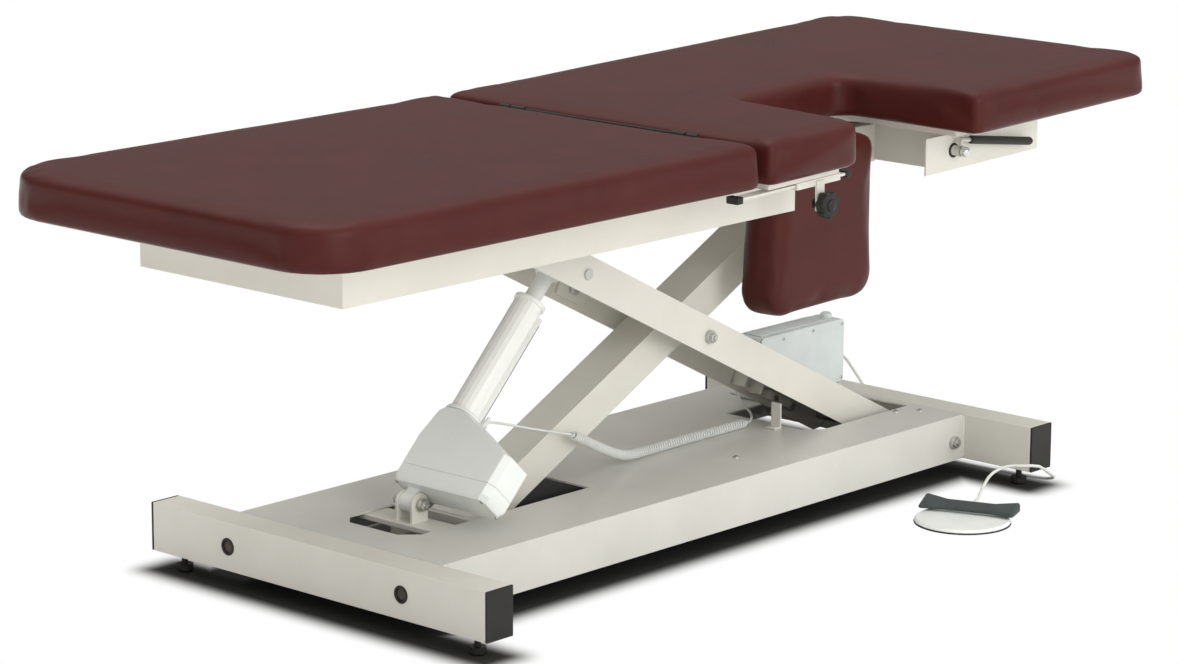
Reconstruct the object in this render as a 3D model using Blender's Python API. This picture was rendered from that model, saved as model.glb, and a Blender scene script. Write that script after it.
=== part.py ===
"""Power lift imaging table with an adjustable backrest and a drop window in its near side.

Metres, +Z up. +X runs from the foot end to the head end, and the drop window is on the -Y side.
Every size below is a real size. Shapes are built in the coordinates of the body that carries
them, and an empty at each joint axis places that body.
"""
import math

import bmesh
import bpy
from mathutils import Matrix, Vector

for old in list(bpy.data.objects):
    bpy.data.objects.remove(old, do_unlink=True)

# General clearances and stock
GAP = 0.0003
RUNNING_GAP = 0.0025
SHEET = 0.003
OVERRUN = 0.01
ROUND_STEPS = 20
SMALL_STEPS = 12
CLOSING_STEPS = 3
SMOOTH_ANGLE = math.radians(35.0)
CORNER_STEPS = 4
FOOT_CORNER_STEPS = 5
ROUTE_STEPS = 24

# Base: two crossbars joined by a pressed deck
FLOOR_GAP = 0.030
CROSSBAR_HEIGHT = 0.0755
CROSSBAR_DEPTH = 0.054
CROSSBAR_HALF = 0.348
CROSSBAR_WALL = 0.003
CAP_THICKNESS = 0.004
CAP_PLUG_DEPTH = 0.012
BASE_SPAN = 1.289
ACCESS_HOLE_DIAMETER = 0.025
ACCESS_HOLE_Y = 0.182
BOLT_DIAMETER = 0.010
BOLT_HEAD_DIAMETER = 0.017
BOLT_HEAD_HEIGHT = 0.006
DECK_HALF = 0.212
FOOT_PAD_DIAMETER = 0.026
FOOT_PAD_HEIGHT = 0.012
FOOT_STEM_DIAMETER = 0.010
FOOT_INSET = 0.040

# Openings in the deck
FOOT_SLOT_START = 0.125
FOOT_SLOT_END = 0.518
FOOT_SLOT_HALF = 0.075
FOOT_SLOT_CHAMFER = 0.025
HEAD_SLOT_START = 1.022
HEAD_SLOT_END = 1.272
HEAD_SLOT_HALF = 0.108

# Scissor
ARM_PIVOT_X = 1.262
ARM_PIVOT_Z = 0.062
HALF_ARM = 0.5218
REST_ANGLE = math.radians(26.8)
OUTER_ARM_HALF = 0.077
OUTER_ARM_WALL = 0.004
OUTER_ARM_DEPTH = 0.057
INNER_ARM_Y = 0.0125
INNER_ARM_WIDTH = 0.070
INNER_ARM_DEPTH = 0.058
INNER_ARM_RISE = 0.016
ARM_SLOT_START = -0.046
ARM_SLOT_END = 0.052
ARM_SLOT_CLEARANCE = 0.006
ARM_TAIL = 0.018
PIVOT_DIAMETER = 0.016
PIVOT_HEAD_DIAMETER = 0.022
PIVOT_HEAD_HEIGHT = 0.005
AXLE_DIAMETER = 0.014
ROLLER_DIAMETER = 0.035
ROLLER_WIDTH = 0.018
TRACK_FLANGE = 0.003
TRACK_CLEARANCE = 0.0004
TRACK_INNER_Y = 0.079
TRACK_OUTER_Y = 0.1045
BASE_TRACK_START = 0.262
TRACK_TIE = 0.010
TRACK_END = 0.480
ROLLER_Y = 0.089
AXLE_HALF = 0.0995
END_CHAMFER = 0.014
END_CHAMFER_HEIGHT = 0.0195
END_FLAT = 0.008

# Actuator
CLEVIS_X = 0.205
CLEVIS_Z = 0.130
ROD_PIN_ON_ARM = 0.8424
TUBE_DIAMETER = 0.047
TUBE_WALL = 0.004
TUBE_END = 0.3705
TUBE_START = 0.125
ROD_START = 0.140
ROD_ROOM = 0.095
TUBE_COLLAR_LENGTH = 0.006
ROD_DIAMETER = 0.027
ROD_EYE_DIAMETER = 0.045
ROD_EYE_BORE = 0.024
ROD_EYE_WIDTH = 0.024
ROD_PIN_DIAMETER = 0.012
CLEVIS_PIN_DIAMETER = 0.012
EAR_THICKNESS = 0.005
EAR_WIDTH = 0.034
EYE_WIDTH = 0.026
EYE_DIAMETER = 0.030
EYE_NECK_SHARE = 0.8
MOTOR_NEAR = 0.158
MOTOR_FAR = 0.037
MOTOR_BOTTOM = 0.018
MOTOR_SEAM = 0.046
MOTOR_SHOULDER = 0.098
MOTOR_WAIST = 0.146
MOTOR_WAIST_Y = 0.052
MOTOR_TOP = 0.156
MOTOR_NECK_Y = 0.0245
MOTOR_HALF_THICKNESS = 0.032
MOTOR_CORNER = 0.010

# Top frame
FRAME_FOOT_X = -0.137
FRAME_HALF = 0.209
FRAME_HEIGHT = 0.070
RAIL_WIDTH = 0.030
NEAR_RAIL_END = 0.842
HEAD_BOX_START = 1.174
HEAD_BOX_END = 1.477
HEAD_BOX_RECESS = 0.058
HEAD_BOX_RECESS_Y = -0.058
HEAD_BOX_LIFT_START = 0.009
HEAD_BOX_LIFT_END = 0.0165
CROSS_RAIL_WIDTH = 0.026
CROSS_RAIL_HEIGHT = 0.026
FIRST_CROSS_X = 0.232
SECOND_CROSS_X = 0.488
THIRD_CROSS_X = 0.785
INNER_RAIL_FAR_Y = -0.032
INNER_RAIL_WIDTH = 0.022
PIVOT_PLATE = 0.005
BOX_NOTCH_HEIGHT = 0.043
PIVOT_PLATE_RADIUS = 0.022

# Upholstery
PAD_LENGTH = 1.931
PAD_HALF = 0.343
PAD_THICKNESS = 0.0713
PAD_FOOT_X = -0.3057
SEAM_X = 0.6146
SEAM_GAP = 0.012
SEAT_PLATE = 0.012
BOARD_THICKNESS = 0.015
FOOT_CORNER_RADIUS = 0.095
HEAD_CORNER_RADIUS = 0.050
SEAM_CORNER_RADIUS = 0.014
PAD_EDGE_RADIUS = 0.016
PAD_CROWN = 0.004
PAD_WAIST = 0.003
EDGE_STEPS = 4
CROWN_STEPS = 3
BOARD_INSET = 0.012
PLATE_INSET = 0.030
PLATE_DRAW = 0.035
DRAWN_CORNERS = 4
INCLINE = math.radians(1.4)
BACK_HINGE_DEPTH = 0.010
BACK_RISE = math.radians(75.0)

# Drop window
WINDOW_INNER_Y = -0.064
WINDOW_FOOT_X = 0.875
WINDOW_FOOT_FLARE = 0.025
WINDOW_HEAD_X = 1.135
WINDOW_HEAD_FLARE = 0.005
WINDOW_CLEARANCE = 0.004
WINDOW_INNER_RADIUS = 0.030
LOBE_RADIUS = 0.038
WINDOW_HEAD_RADIUS = 0.020
WINDOW_HINGE_RADIUS = 0.004

# Control box, pedal and cords
BOX_START = 1.115
BOX_LENGTH = 0.220
BOX_NEAR_Y = 0.080
BOX_THICKNESS = 0.055
BOX_HEIGHT = 0.110
BOX_CORNER = 0.010
BOX_COVER = 0.004
PEDAL_X = 1.058
PEDAL_Y = -0.387
PEDAL_RADIUS = 0.077
PEDAL_HEIGHT = 0.007
ROCKER_LENGTH = 0.158
ROCKER_WIDTH = 0.046
ROCKER_THICKNESS = 0.006
ROCKER_RISE = 0.0105
ROCKER_TURN = math.radians(20.0)
ROCKER_BACK = 0.036
CURL_DIAMETER = 0.0045
CURL_RADIUS = 0.005
CURL_COUNT = 36
CURL_POINTS = 8
PEDAL_CORD_DIAMETER = 0.005

# Backrest strut and its cam lever
STRUT_Y = 0.1345
STRUT_STROKE = 0.160
STRUT_CYLINDER_DIAMETER = 0.020
STRUT_CYLINDER_LENGTH = 0.235
STRUT_ROD_DIAMETER = 0.010
STRUT_INSERT_SHARE = 0.9
STRUT_PIN_DIAMETER = 0.008
LEVER_PLATE = 0.005
SLOT_CLEARANCE = 0.0055

# Release lever, support bar and lock knob
LEVER_X = 1.246
LEVER_LENGTH = 0.191
LEVER_RISE = 0.019
LEVER_ROD_DIAMETER = 0.008
GRIP_DIAMETER = 0.014
GRIP_LENGTH = 0.168
LEVER_DROOP = math.radians(8.0)
LEVER_STANDOFF = 0.014
LEVER_BOSS_DIAMETER = 0.018
BAR_START = 0.594
BAR_LENGTH = 0.244
BAR_WIDTH = 0.020
BAR_HEIGHT = 0.0075
BAR_Y = -0.300
KNOB_DIAMETER = 0.038
KNOB_LENGTH = 0.018
KNOB_X = 0.770
KNOB_DROP = 0.0387
KNOB_SHAFT_DIAMETER = 0.009

# Worked out from the sizes above
DECK_TOP = FLOOR_GAP + CROSSBAR_HEIGHT
CENTRE_X = ARM_PIVOT_X - HALF_ARM * math.cos(REST_ANGLE)
CENTRE_Z = ARM_PIVOT_Z + HALF_ARM * math.sin(REST_ANGLE)
TOP_PIN_Z = ARM_PIVOT_Z + HALF_ARM * math.sin(REST_ANGLE) * 2
FRAME_BOTTOM = TOP_PIN_Z - ROLLER_DIAMETER / 2 - TRACK_CLEARANCE - TRACK_FLANGE
FRAME_TOP = FRAME_BOTTOM + FRAME_HEIGHT
PAD_BOTTOM = FRAME_TOP + GAP + SEAT_PLATE
PAD_TOP = PAD_BOTTOM + PAD_THICKNESS
PAD_HEAD_X = PAD_FOOT_X + PAD_LENGTH
BACK_HINGE_Z = PAD_TOP - BACK_HINGE_DEPTH
MIDDLE_X = (PAD_FOOT_X + PAD_HEAD_X) / 2

def material(name, colour, roughness, metallic=0.0):
    """A plain Principled finish."""
    made = bpy.data.materials.new(name)
    made.use_nodes = True
    shader = made.node_tree.nodes["Principled BSDF"]
    shader.inputs["Base Color"].default_value = (*colour, 1.0)
    shader.inputs["Roughness"].default_value = roughness
    shader.inputs["Metallic"].default_value = metallic
    return made


ENAMEL = material("cream_enamel", (0.70, 0.67, 0.60), 0.38)
ZINC = material("zinc_steel", (0.55, 0.55, 0.54), 0.35, 0.9)
CHROME = material("chromed_rod", (0.75, 0.75, 0.76), 0.15, 1.0)
PLASTIC = material("white_plastic", (0.72, 0.76, 0.73), 0.42)
BLACK = material("black_plastic", (0.025, 0.025, 0.024), 0.5)
VINYL = material("maroon_vinyl", (0.085, 0.022, 0.022), 0.42)
ROCKER = material("slate_rubber", (0.045, 0.058, 0.058), 0.55)
CORD = material("white_cord", (0.72, 0.74, 0.72), 0.5)


def joint_frame(name, place, turn, parent):
    """An empty on a joint's axis, which carries the pieces of one body."""
    axis = bpy.data.objects.new(name, None)
    axis.location = place
    axis.rotation_euler = turn
    axis.parent = parent
    bpy.context.collection.objects.link(axis)
    return axis


def add(name, bm, finish, parent, smooth=False):
    """Turn a bmesh into a named piece in its body's coordinates."""
    bmesh.ops.recalc_face_normals(bm, faces=bm.faces)
    mesh = bpy.data.meshes.new(name)
    bm.to_mesh(mesh)
    bm.free()
    mesh.materials.append(finish)
    piece = bpy.data.objects.new(name, mesh)
    piece.parent = parent
    bpy.context.collection.objects.link(piece)
    if smooth:
        mesh.shade_smooth()
        mesh.set_sharp_from_angle(angle=SMOOTH_ANGLE)
    return piece


def shape_with(piece, bm, operation, label):
    """Cut a shape out of a piece, or unite it with the piece."""
    tool = add(f"{piece.name}_{label}", bm, ENAMEL, piece.parent)
    tool.hide_render = True
    tool.display_type = "WIRE"
    change = piece.modifiers.new(label, "BOOLEAN")
    change.operation = operation
    change.solver = "EXACT"
    change.object = tool


def cut(piece, bm, label):
    shape_with(piece, bm, "DIFFERENCE", label)


def unite(piece, bm, label):
    shape_with(piece, bm, "UNION", label)


def across(axis, along, first, second):
    """A point from its place along an axis and its two places across it."""
    return {"X": (along, first, second), "Y": (first, along, second), "Z": (first, second, along)}[axis]


def rect(low_a, high_a, low_b, high_b):
    return [(low_a, low_b), (high_a, low_b), (high_a, high_b), (low_a, high_b)]


def circle(centre_a, centre_b, radius, steps=ROUND_STEPS):
    turns = [math.tau * step / steps for step in range(steps)]
    return [(centre_a + radius * math.cos(turn), centre_b + radius * math.sin(turn)) for turn in turns]


def prism(outline, axis, start, end, hole=None, bm=None):
    """Extrude an outline along an axis, with an optional hole of as many points."""
    bm = bm or bmesh.new()
    count = len(outline)
    near = [bm.verts.new(across(axis, start, *point)) for point in outline]
    far = [bm.verts.new(across(axis, end, *point)) for point in outline]
    for index in range(count):
        after = (index + 1) % count
        bm.faces.new((near[index], near[after], far[after], far[index]))
    if hole is None:
        bm.faces.new(near)
        bm.faces.new(far)
        return bm
    near_hole = [bm.verts.new(across(axis, start, *point)) for point in hole]
    far_hole = [bm.verts.new(across(axis, end, *point)) for point in hole]
    for index in range(count):
        after = (index + 1) % count
        bm.faces.new((near_hole[index], near_hole[after], far_hole[after], far_hole[index]))
        bm.faces.new((near[index], near[after], near_hole[after], near_hole[index]))
        bm.faces.new((far[index], far[after], far_hole[after], far_hole[index]))
    return bm


def block(low, high, bm=None):
    """A box between its lowest and highest corners."""
    return prism(rect(low[1], high[1], low[2], high[2]), "X", low[0], high[0], bm=bm)


def turned(profile, axis, centre, steps=ROUND_STEPS, closed=False, bm=None):
    """Turn a profile of (place along the axis, radius) points about the axis."""
    bm = bm or bmesh.new()
    rings = []
    for along, radius in profile:
        if radius == 0:
            rings.append([bm.verts.new(across(axis, along, *centre))])
            continue
        ring = [bm.verts.new(across(axis, along, *point)) for point in circle(*centre, radius, steps)]
        rings.append(ring)
    pairs = list(zip(rings, rings[1:]))
    if closed:
        pairs.append((rings[-1], rings[0]))
    for first, second in pairs:
        for index in range(steps):
            after = (index + 1) % steps
            corners = [first[index % len(first)], first[after % len(first)],
                       second[after % len(second)], second[index % len(second)]]
            bm.faces.new(list(dict.fromkeys(corners)))
    return bm


def rod(axis, centre, start, end, radius, steps=ROUND_STEPS, bm=None):
    return turned([(start, 0), (start, radius), (end, radius), (end, 0)], axis, centre, steps, bm=bm)


def pipe(axis, centre, start, end, radius, bore, steps=ROUND_STEPS, bm=None):
    profile = [(start, bore), (start, radius), (end, radius), (end, bore)]
    return turned(profile, axis, centre, steps, closed=True, bm=bm)


def offset_corner(before, corner, after, inset):
    """Where the two edges of a corner meet when both move inwards."""
    first = (Vector(corner) - Vector(before)).normalized()
    second = (Vector(after) - Vector(corner)).normalized()
    cross = first.x * second.y - first.y * second.x
    along = first.dot(second)
    inward = Vector((-first.y, first.x))
    slide = inset * (1 - along) / cross if abs(cross) > 0 else 0
    return Vector(corner) + inward * inset + first * -slide


def rounded(corners, inset, steps):
    """Points of a rounded outline, given as (x, y, radius), moved inwards by an inset."""
    count = len(corners)
    plain = [corner[:2] for corner in corners]
    moved = [offset_corner(plain[index - 1], plain[index], plain[(index + 1) % count], inset)
             for index in range(count)]
    points = []
    for index in range(count):
        corner = moved[index]
        first = (corner - moved[index - 1]).normalized()
        second = (moved[(index + 1) % count] - corner).normalized()
        cross = first.x * second.y - first.y * second.x
        turn = math.atan2(cross, first.dot(second))
        side = math.copysign(1, turn)
        radius = max(corners[index][2] - inset * side, PAD_WAIST)
        start = corner - first * radius * math.tan(abs(turn) / 2)
        centre = start + Vector((-first.y, first.x)) * radius * side
        spoke = start - centre
        for step in range(steps + 1):
            points.append(centre + Matrix.Rotation(turn * step / steps, 2) @ spoke)
    return points


def lofted(corners, rings, steps):
    """A solid from rings of a rounded outline, each with an inset, a height and perhaps its own corners."""
    bm = bmesh.new()
    loops = []
    for inset, height, *outline in rings:
        points = rounded(outline[0] if outline else corners, inset, steps)
        loops.append([bm.verts.new((point.x, point.y, height)) for point in points])
    count = len(loops[0])
    for lower, upper in zip(loops, loops[1:]):
        for index in range(count):
            after = (index + 1) % count
            bm.faces.new((lower[index], lower[after], upper[after], upper[index]))
    bm.faces.new(loops[0])
    bm.faces.new(loops[-1])
    return bm


def pad(name, corners, bottom, parent, steps):
    """An upholstered pad: open under its board, waisted sides, rounded edge and crowned top."""
    top = bottom + PAD_THICKNESS
    edge = PAD_EDGE_RADIUS
    low_edge = edge / 2
    rings = [(BOARD_INSET, bottom + BOARD_THICKNESS + GAP), (BOARD_INSET, bottom)]
    for turn in (0, math.pi / (2 * 2), math.pi / 2):
        rings.append((low_edge * (1 - math.sin(turn)), bottom + low_edge * (1 - math.cos(turn))))
    rings.append((PAD_WAIST, (bottom + top) / 2))
    crest = top - PAD_CROWN
    for step in range(EDGE_STEPS + 1):
        turn = math.pi / 2 * step / EDGE_STEPS
        rings.append((edge * (1 - math.cos(turn)), crest - edge * (1 - math.sin(turn))))
    for step in range(1, CROWN_STEPS + 1):
        share = step / CROWN_STEPS
        rings.append((edge * (1 + share * 2), crest + PAD_CROWN * math.sin(math.pi / 2 * share)))
    return add(name, lofted(corners, rings, steps), VINYL, parent, smooth=True)


def smooth_route(points, count):
    """Evenly spaced points on a smooth curve through the route's own points."""
    knots = [Vector(point) for point in points]
    knots = [knots[0] * 2 - knots[1]] + knots + [knots[-1] * 2 - knots[-2]]
    fine = []
    for index in range(1, len(knots) - 2):
        before, start, end, after = knots[index - 1], knots[index], knots[index + 1], knots[index + 2]
        for step in range(ROUTE_STEPS):
            t = step / ROUTE_STEPS
            leave = (end - before) / 2
            arrive = (after - start) / 2
            rise = end - start
            fine.append(start + leave * t + (rise + rise + rise - leave - leave - arrive) * t * t
                        + (leave + arrive - rise - rise) * t * t * t)
    fine.append(knots[-2])
    lengths = [0.0]
    for first, second in zip(fine, fine[1:]):
        lengths.append(lengths[-1] + (second - first).length)
    result = []
    place = 0
    for step in range(count):
        target = lengths[-1] * step / (count - 1)
        while place < len(fine) - 2 and lengths[place + 1] < target:
            place += 1
        span = lengths[place + 1] - lengths[place]
        result.append(fine[place].lerp(fine[place + 1], (target - lengths[place]) / span))
    return result


def route_length(points):
    return sum((second - first).length for first, second in zip(points, points[1:]))


def cord(name, points, diameter, sides_level, parent):
    """A cord as one open curve with a round section and closed ends."""
    curve = bpy.data.curves.new(name, "CURVE")
    curve.dimensions = "3D"
    curve.bevel_depth = diameter / 2
    curve.bevel_resolution = sides_level
    curve.use_fill_caps = True
    line = curve.splines.new("POLY")
    line.points.add(len(points) - 1)
    for spot, point in zip(line.points, points):
        spot.co = (*point, 1.0)
    curve.materials.append(CORD)
    piece = bpy.data.objects.new(name, curve)
    piece.parent = parent
    bpy.context.collection.objects.link(piece)
    return piece


def bolt(axis, centre, start, end, radius, head_radius, head, bm=None):
    """A bolt with a round head outside each end of what it clamps."""
    profile = [(start - head, 0), (start - head, head_radius), (start, head_radius), (start, radius),
               (end, radius), (end, head_radius), (end + head, head_radius), (end + head, 0)]
    return turned(profile, axis, centre, SMALL_STEPS, bm=bm)


# Bodies
table = joint_frame("table_origin", (-MIDDLE_X, 0, 0), (0, 0, 0), None)
outer_body = joint_frame("outer_arm_axis", (ARM_PIVOT_X, 0, ARM_PIVOT_Z), (0, REST_ANGLE, 0), table)
inner_body = joint_frame("inner_arm_axis", (CENTRE_X, 0, CENTRE_Z), (0, -REST_ANGLE, 0), table)
back_body = joint_frame("backrest_axis", (SEAM_X, 0, BACK_HINGE_Z), (0, -INCLINE, 0), table)

# Details whose sizes go with the shapes below
NECK_Z = ROLLER_DIAMETER / 2 + TRACK_CLEARANCE
WELD_OVERLAP = 0.002
CLEVIS_STRAP_HALF = 0.095
CLEVIS_STRAP_LENGTH = 0.050
CLEVIS_STRAP_HEIGHT = 0.008
LOWER_ARM_SPAN = 0.0206
POST_X = 1.004
POST_Y = -0.045
POST_HEIGHT = 0.042
POST_WIDTH = 0.020
POST_FOOT = 0.016
SOCKET_PLACES = ((0.016, 0.090), (0.028, 0.090), (0.040, 0.090))
SOCKET_RADIUS = 0.0045
SOCKET_LENGTH = 0.018
BAR_BOTTOM = 0.0075
BAR_CLEARANCE = 0.0005
GUIDE_START = 0.7175
GUIDE_LENGTH = 0.1035
LUG_LENGTH = 0.018
LUG_DROP = 0.010
HINGE_BLADE = 0.003
KNUCKLE_RADIUS = 0.005
KNUCKLE_PIN = 0.003
BLADE_OUTER = (0.184, 0.204)
BLADE_INNER = (0.152, 0.180)
WINDOW_HINGE_Y = -0.066
WINDOW_HINGE_Z = 0.585
WINDOW_ROD_START = 0.918
WINDOW_ROD_END = 1.092
WINDOW_LUG = 0.008
WINDOW_LUG_NEAR = -0.070
WINDOW_LUG_LOW = 0.0025
WINDOW_LUG_TOP = 0.0075
WINDOW_KNUCKLE = 0.0062
WINDOW_STRAP = 0.024
WINDOW_STRAP_HALF = 0.0045
WINDOW_STRAPS = (0.938, 1.048)
WINDOW_OUTER_RADIUS = 0.045
CAM_Y = 0.1455
CAM_INNER = 0.102
CAM_HALF = 0.016
CAM_TOP = 0.0665
CAM_ROOT_START = -0.034
CAM_ROOT_END = 0.100
CAM_WEB = ((0.100, -0.085), (0.060, -0.100), (-0.030, -0.112))
CAM_RELIEF = 0.0095
RIDGE_HALF = 0.060
RIDGE_WIDTH = 0.004
RIDGE_TOP = 0.0102
ROCKER_WAIST = 0.030
LEAD_ROUTE = ((0.3268, -0.030, 0.2288), (0.3320, -0.031, 0.2335), (0.3450, -0.036, 0.2330),
              (0.372, -0.045, 0.226), (0.415, -0.050, 0.213), (0.470, -0.048, 0.197))
CURL_ROUTE = ((0.505, -0.046, 0.187), (0.545, -0.042, 0.168), (0.585, -0.036, 0.149),
              (0.630, -0.027, 0.130), (0.675, -0.018, 0.1172), (0.740, -0.011, 0.1140),
              (0.860, -0.008, 0.1136), (0.975, -0.008, 0.1138))
TAIL_ROUTE = ((0.988, -0.010, 0.118), (0.996, -0.020, 0.130))
PEDAL_CORD_ROUTE = ((1.1231, -0.3447, 0.0045), (1.1320, -0.3392, 0.0050), (1.1520, -0.3440, 0.0080),
                    (1.185, -0.332, 0.0220), (1.222, -0.322, 0.0360), (1.255, -0.330, 0.0440),
                    (1.272, -0.352, 0.0450),
                    (1.295, -0.3635, 0.0420), (1.322, -0.366, 0.0250), (1.3475, -0.356, 0.0120),
                    (1.357, -0.330, 0.0040), (1.353, -0.280, 0.0030), (1.3475, -0.200, 0.0028),
                    (1.346, -0.120, 0.0028), (1.346, -0.0653, 0.0028))
COIL_CENTRE_X = 1.3735
COIL_CENTRE_Y = -0.060
COIL_RADIUS = 0.0275
COIL_TURNS = 6
COIL_LIFT = 0.0056
COIL_POINTS = 24
RISE_ROUTE = ((1.346, -0.0547, 0.0364), (1.346, -0.0470, 0.0364), (1.3465, -0.018, 0.0450),
              (1.3475, 0.020, 0.0750),
              (1.354, 0.065, 0.1150), (1.3575, 0.092, 0.1380), (1.352, 0.1055, 0.1495),
              (1.3358, 0.1085, 0.1530))
PEDAL_CORD_POINTS = 56
RISE_POINTS = 24

STRUT_Z = FRAME_TOP - CROSS_RAIL_HEIGHT - GAP - STRUT_CYLINDER_DIAMETER / 2
MIDDLE_Y = (CROSSBAR_HALF + CAP_THICKNESS + PEDAL_Y - PEDAL_RADIUS) / 2
ACTUATOR_PIN_X = ARM_PIVOT_X - ROD_PIN_ON_ARM * math.cos(REST_ANGLE)
ACTUATOR_PIN_Z = ARM_PIVOT_Z + ROD_PIN_ON_ARM * math.sin(REST_ANGLE)
ACTUATOR_ANGLE = math.atan2(ACTUATOR_PIN_Z - CLEVIS_Z, ACTUATOR_PIN_X - CLEVIS_X)
ACTUATOR_LENGTH = math.hypot(ACTUATOR_PIN_Z - CLEVIS_Z, ACTUATOR_PIN_X - CLEVIS_X)

table.location = (-MIDDLE_X, -MIDDLE_Y, 0)
motor_body = joint_frame("actuator_axis", (CLEVIS_X, 0, CLEVIS_Z), (0, -ACTUATOR_ANGLE, 0), table)
lever_place = (LEVER_X, -FRAME_HALF - LEVER_STANDOFF, FRAME_BOTTOM + BOX_NOTCH_HEIGHT)
lever_body = joint_frame("release_axis", lever_place, (0, LEVER_DROOP, 0), table)
pedal_body = joint_frame("pedal_axis", (PEDAL_X, PEDAL_Y, 0), (0, 0, ROCKER_TURN), table)
window_body = joint_frame("window_axis", (0, WINDOW_HINGE_Y, WINDOW_HINGE_Z - BACK_HINGE_Z),
                          (math.radians(90), 0, 0), back_body)


def skin(loops, axis):
    """A solid through outlines with as many points each, along an axis."""
    bm = bmesh.new()
    rings = [[bm.verts.new(across(axis, along, *point)) for point in outline] for along, outline in loops]
    for lower, upper in zip(rings, rings[1:]):
        for index in range(len(lower)):
            after = (index + 1) % len(lower)
            bm.faces.new((lower[index], lower[after], upper[after], upper[index]))
    bm.faces.new(rings[0])
    bm.faces.new(rings[-1])
    return bm


def chamfered(low_a, high_a, low_b, high_b, corner):
    """A rectangle with cut corners."""
    return [(low_a + corner, low_b), (high_a - corner, low_b), (high_a, low_b + corner),
            (high_a, high_b - corner), (high_a - corner, high_b), (low_a + corner, high_b),
            (low_a, high_b - corner), (low_a, low_b + corner)]


def risen(low_a, high_a, low_b, high_b, corner):
    """A rectangle with cut corners whose top rises towards the far edge."""
    slope = ROCKER_RISE / ROCKER_WIDTH
    middle = (low_b + high_b) / 2
    return [(a, b + slope * (a - low_a) if b > middle else b)
            for a, b in chamfered(low_a, high_a, low_b, high_b, corner)]


def grown(outline_limits, amount):
    low_a, high_a, low_b, high_b = outline_limits
    return rect(low_a - amount, high_a + amount, low_b - amount, high_b + amount)


def crossbar(name, start):
    """A rectangular tube across the table."""
    limits = (start, start + CROSSBAR_DEPTH, FLOOR_GAP, DECK_TOP)
    outline = grown(limits, 0)
    hole = grown(limits, -CROSSBAR_WALL)
    return add(name, prism(outline, "Y", -CROSSBAR_HALF, CROSSBAR_HALF, hole), ENAMEL, table)


def end_cap(name, start, side):
    """A plastic cap with a plug that sits in the tube."""
    limits = (start, start + CROSSBAR_DEPTH, FLOOR_GAP, DECK_TOP)
    outer = grown(limits, 0)
    plug = grown(limits, -CROSSBAR_WALL - GAP)
    seat = side * (CROSSBAR_HALF + GAP)
    loops = [(seat + side * CAP_THICKNESS, outer), (seat, outer), (seat, plug),
             (seat - side * CAP_PLUG_DEPTH, plug)]
    add(name, skin(loops, "Y"), BLACK, table)


def levelling_foot(name, start, side):
    centre = (start + CROSSBAR_DEPTH / 2, side * (CROSSBAR_HALF - FOOT_INSET))
    pad_radius = FOOT_PAD_DIAMETER / 2
    stem = FOOT_STEM_DIAMETER / 2
    profile = [(0, 0), (0, pad_radius - SHEET), (SHEET, pad_radius), (FOOT_PAD_HEIGHT, pad_radius),
               (FOOT_PAD_HEIGHT, stem), (FLOOR_GAP - GAP, stem), (FLOOR_GAP - GAP, 0)]
    add(name, turned(profile, "Z", centre, SMALL_STEPS), BLACK, table)


def build_base():
    foot_bar = crossbar("foot_crossbar", 0)
    for index, y in enumerate((-ACCESS_HOLE_Y, ACCESS_HOLE_Y)):
        centre = (y, FLOOR_GAP + CROSSBAR_HEIGHT / 2)
        hole = rod("X", centre, -OVERRUN, CROSSBAR_DEPTH / 2, ACCESS_HOLE_DIAMETER / 2)
        cut(foot_bar, hole, f"access_{index}")
    crossbar("head_crossbar", BASE_SPAN)
    for end, start in (("foot", 0), ("head", BASE_SPAN)):
        for word, side in (("near", -1), ("far", 1)):
            end_cap(f"{end}_cap_{word}", start, side)
            levelling_foot(f"{end}_levelling_foot_{word}", start, side)
    inner = DECK_HALF - SHEET
    outline = [(-DECK_HALF, FLOOR_GAP), (-DECK_HALF, DECK_TOP), (DECK_HALF, DECK_TOP),
               (DECK_HALF, FLOOR_GAP), (inner, FLOOR_GAP), (inner, DECK_TOP - SHEET),
               (-inner, DECK_TOP - SHEET), (-inner, FLOOR_GAP)]
    deck = add("deck", prism(outline, "X", CROSSBAR_DEPTH + GAP, BASE_SPAN - GAP), ENAMEL, table)
    corner = FOOT_SLOT_CHAMFER
    half = FOOT_SLOT_HALF
    slot = [(FOOT_SLOT_START + corner, -half), (FOOT_SLOT_END, -half), (FOOT_SLOT_END, half),
            (FOOT_SLOT_START + corner, half), (FOOT_SLOT_START, half - corner),
            (FOOT_SLOT_START, corner - half)]
    low = DECK_TOP - SHEET - OVERRUN
    cut(deck, prism(slot, "Z", low, DECK_TOP + OVERRUN), "foot_slot")
    head = [(HEAD_SLOT_START + corner, -HEAD_SLOT_HALF), (HEAD_SLOT_END, -HEAD_SLOT_HALF),
            (HEAD_SLOT_END, HEAD_SLOT_HALF - BOX_CORNER), (HEAD_SLOT_END - BOX_CORNER, HEAD_SLOT_HALF),
            (HEAD_SLOT_START, HEAD_SLOT_HALF), (HEAD_SLOT_START, corner - HEAD_SLOT_HALF)]
    head = [(x, min(y, BOX_NEAR_Y - RUNNING_GAP)) for x, y in head]
    head = list(dict.fromkeys(head))
    cut(deck, prism(head, "Z", low, DECK_TOP + OVERRUN), "head_slot")
    pivot = (ARM_PIVOT_X, ARM_PIVOT_Z)
    reach = DECK_HALF + OVERRUN
    cut(deck, rod("Y", pivot, -reach, reach, PIVOT_DIAMETER / 2 + GAP), "pivot_holes")
    side = DECK_HALF + GAP
    add("lower_pivot_shaft", bolt("Y", pivot, -side, side, PIVOT_DIAMETER / 2,
                                  PIVOT_HEAD_DIAMETER / 2, PIVOT_HEAD_HEIGHT), ZINC, table)
    build_tracks("base_track", ARM_PIVOT_Z, DECK_TOP - SHEET - GAP, BASE_TRACK_START, TRACK_END)


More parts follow.
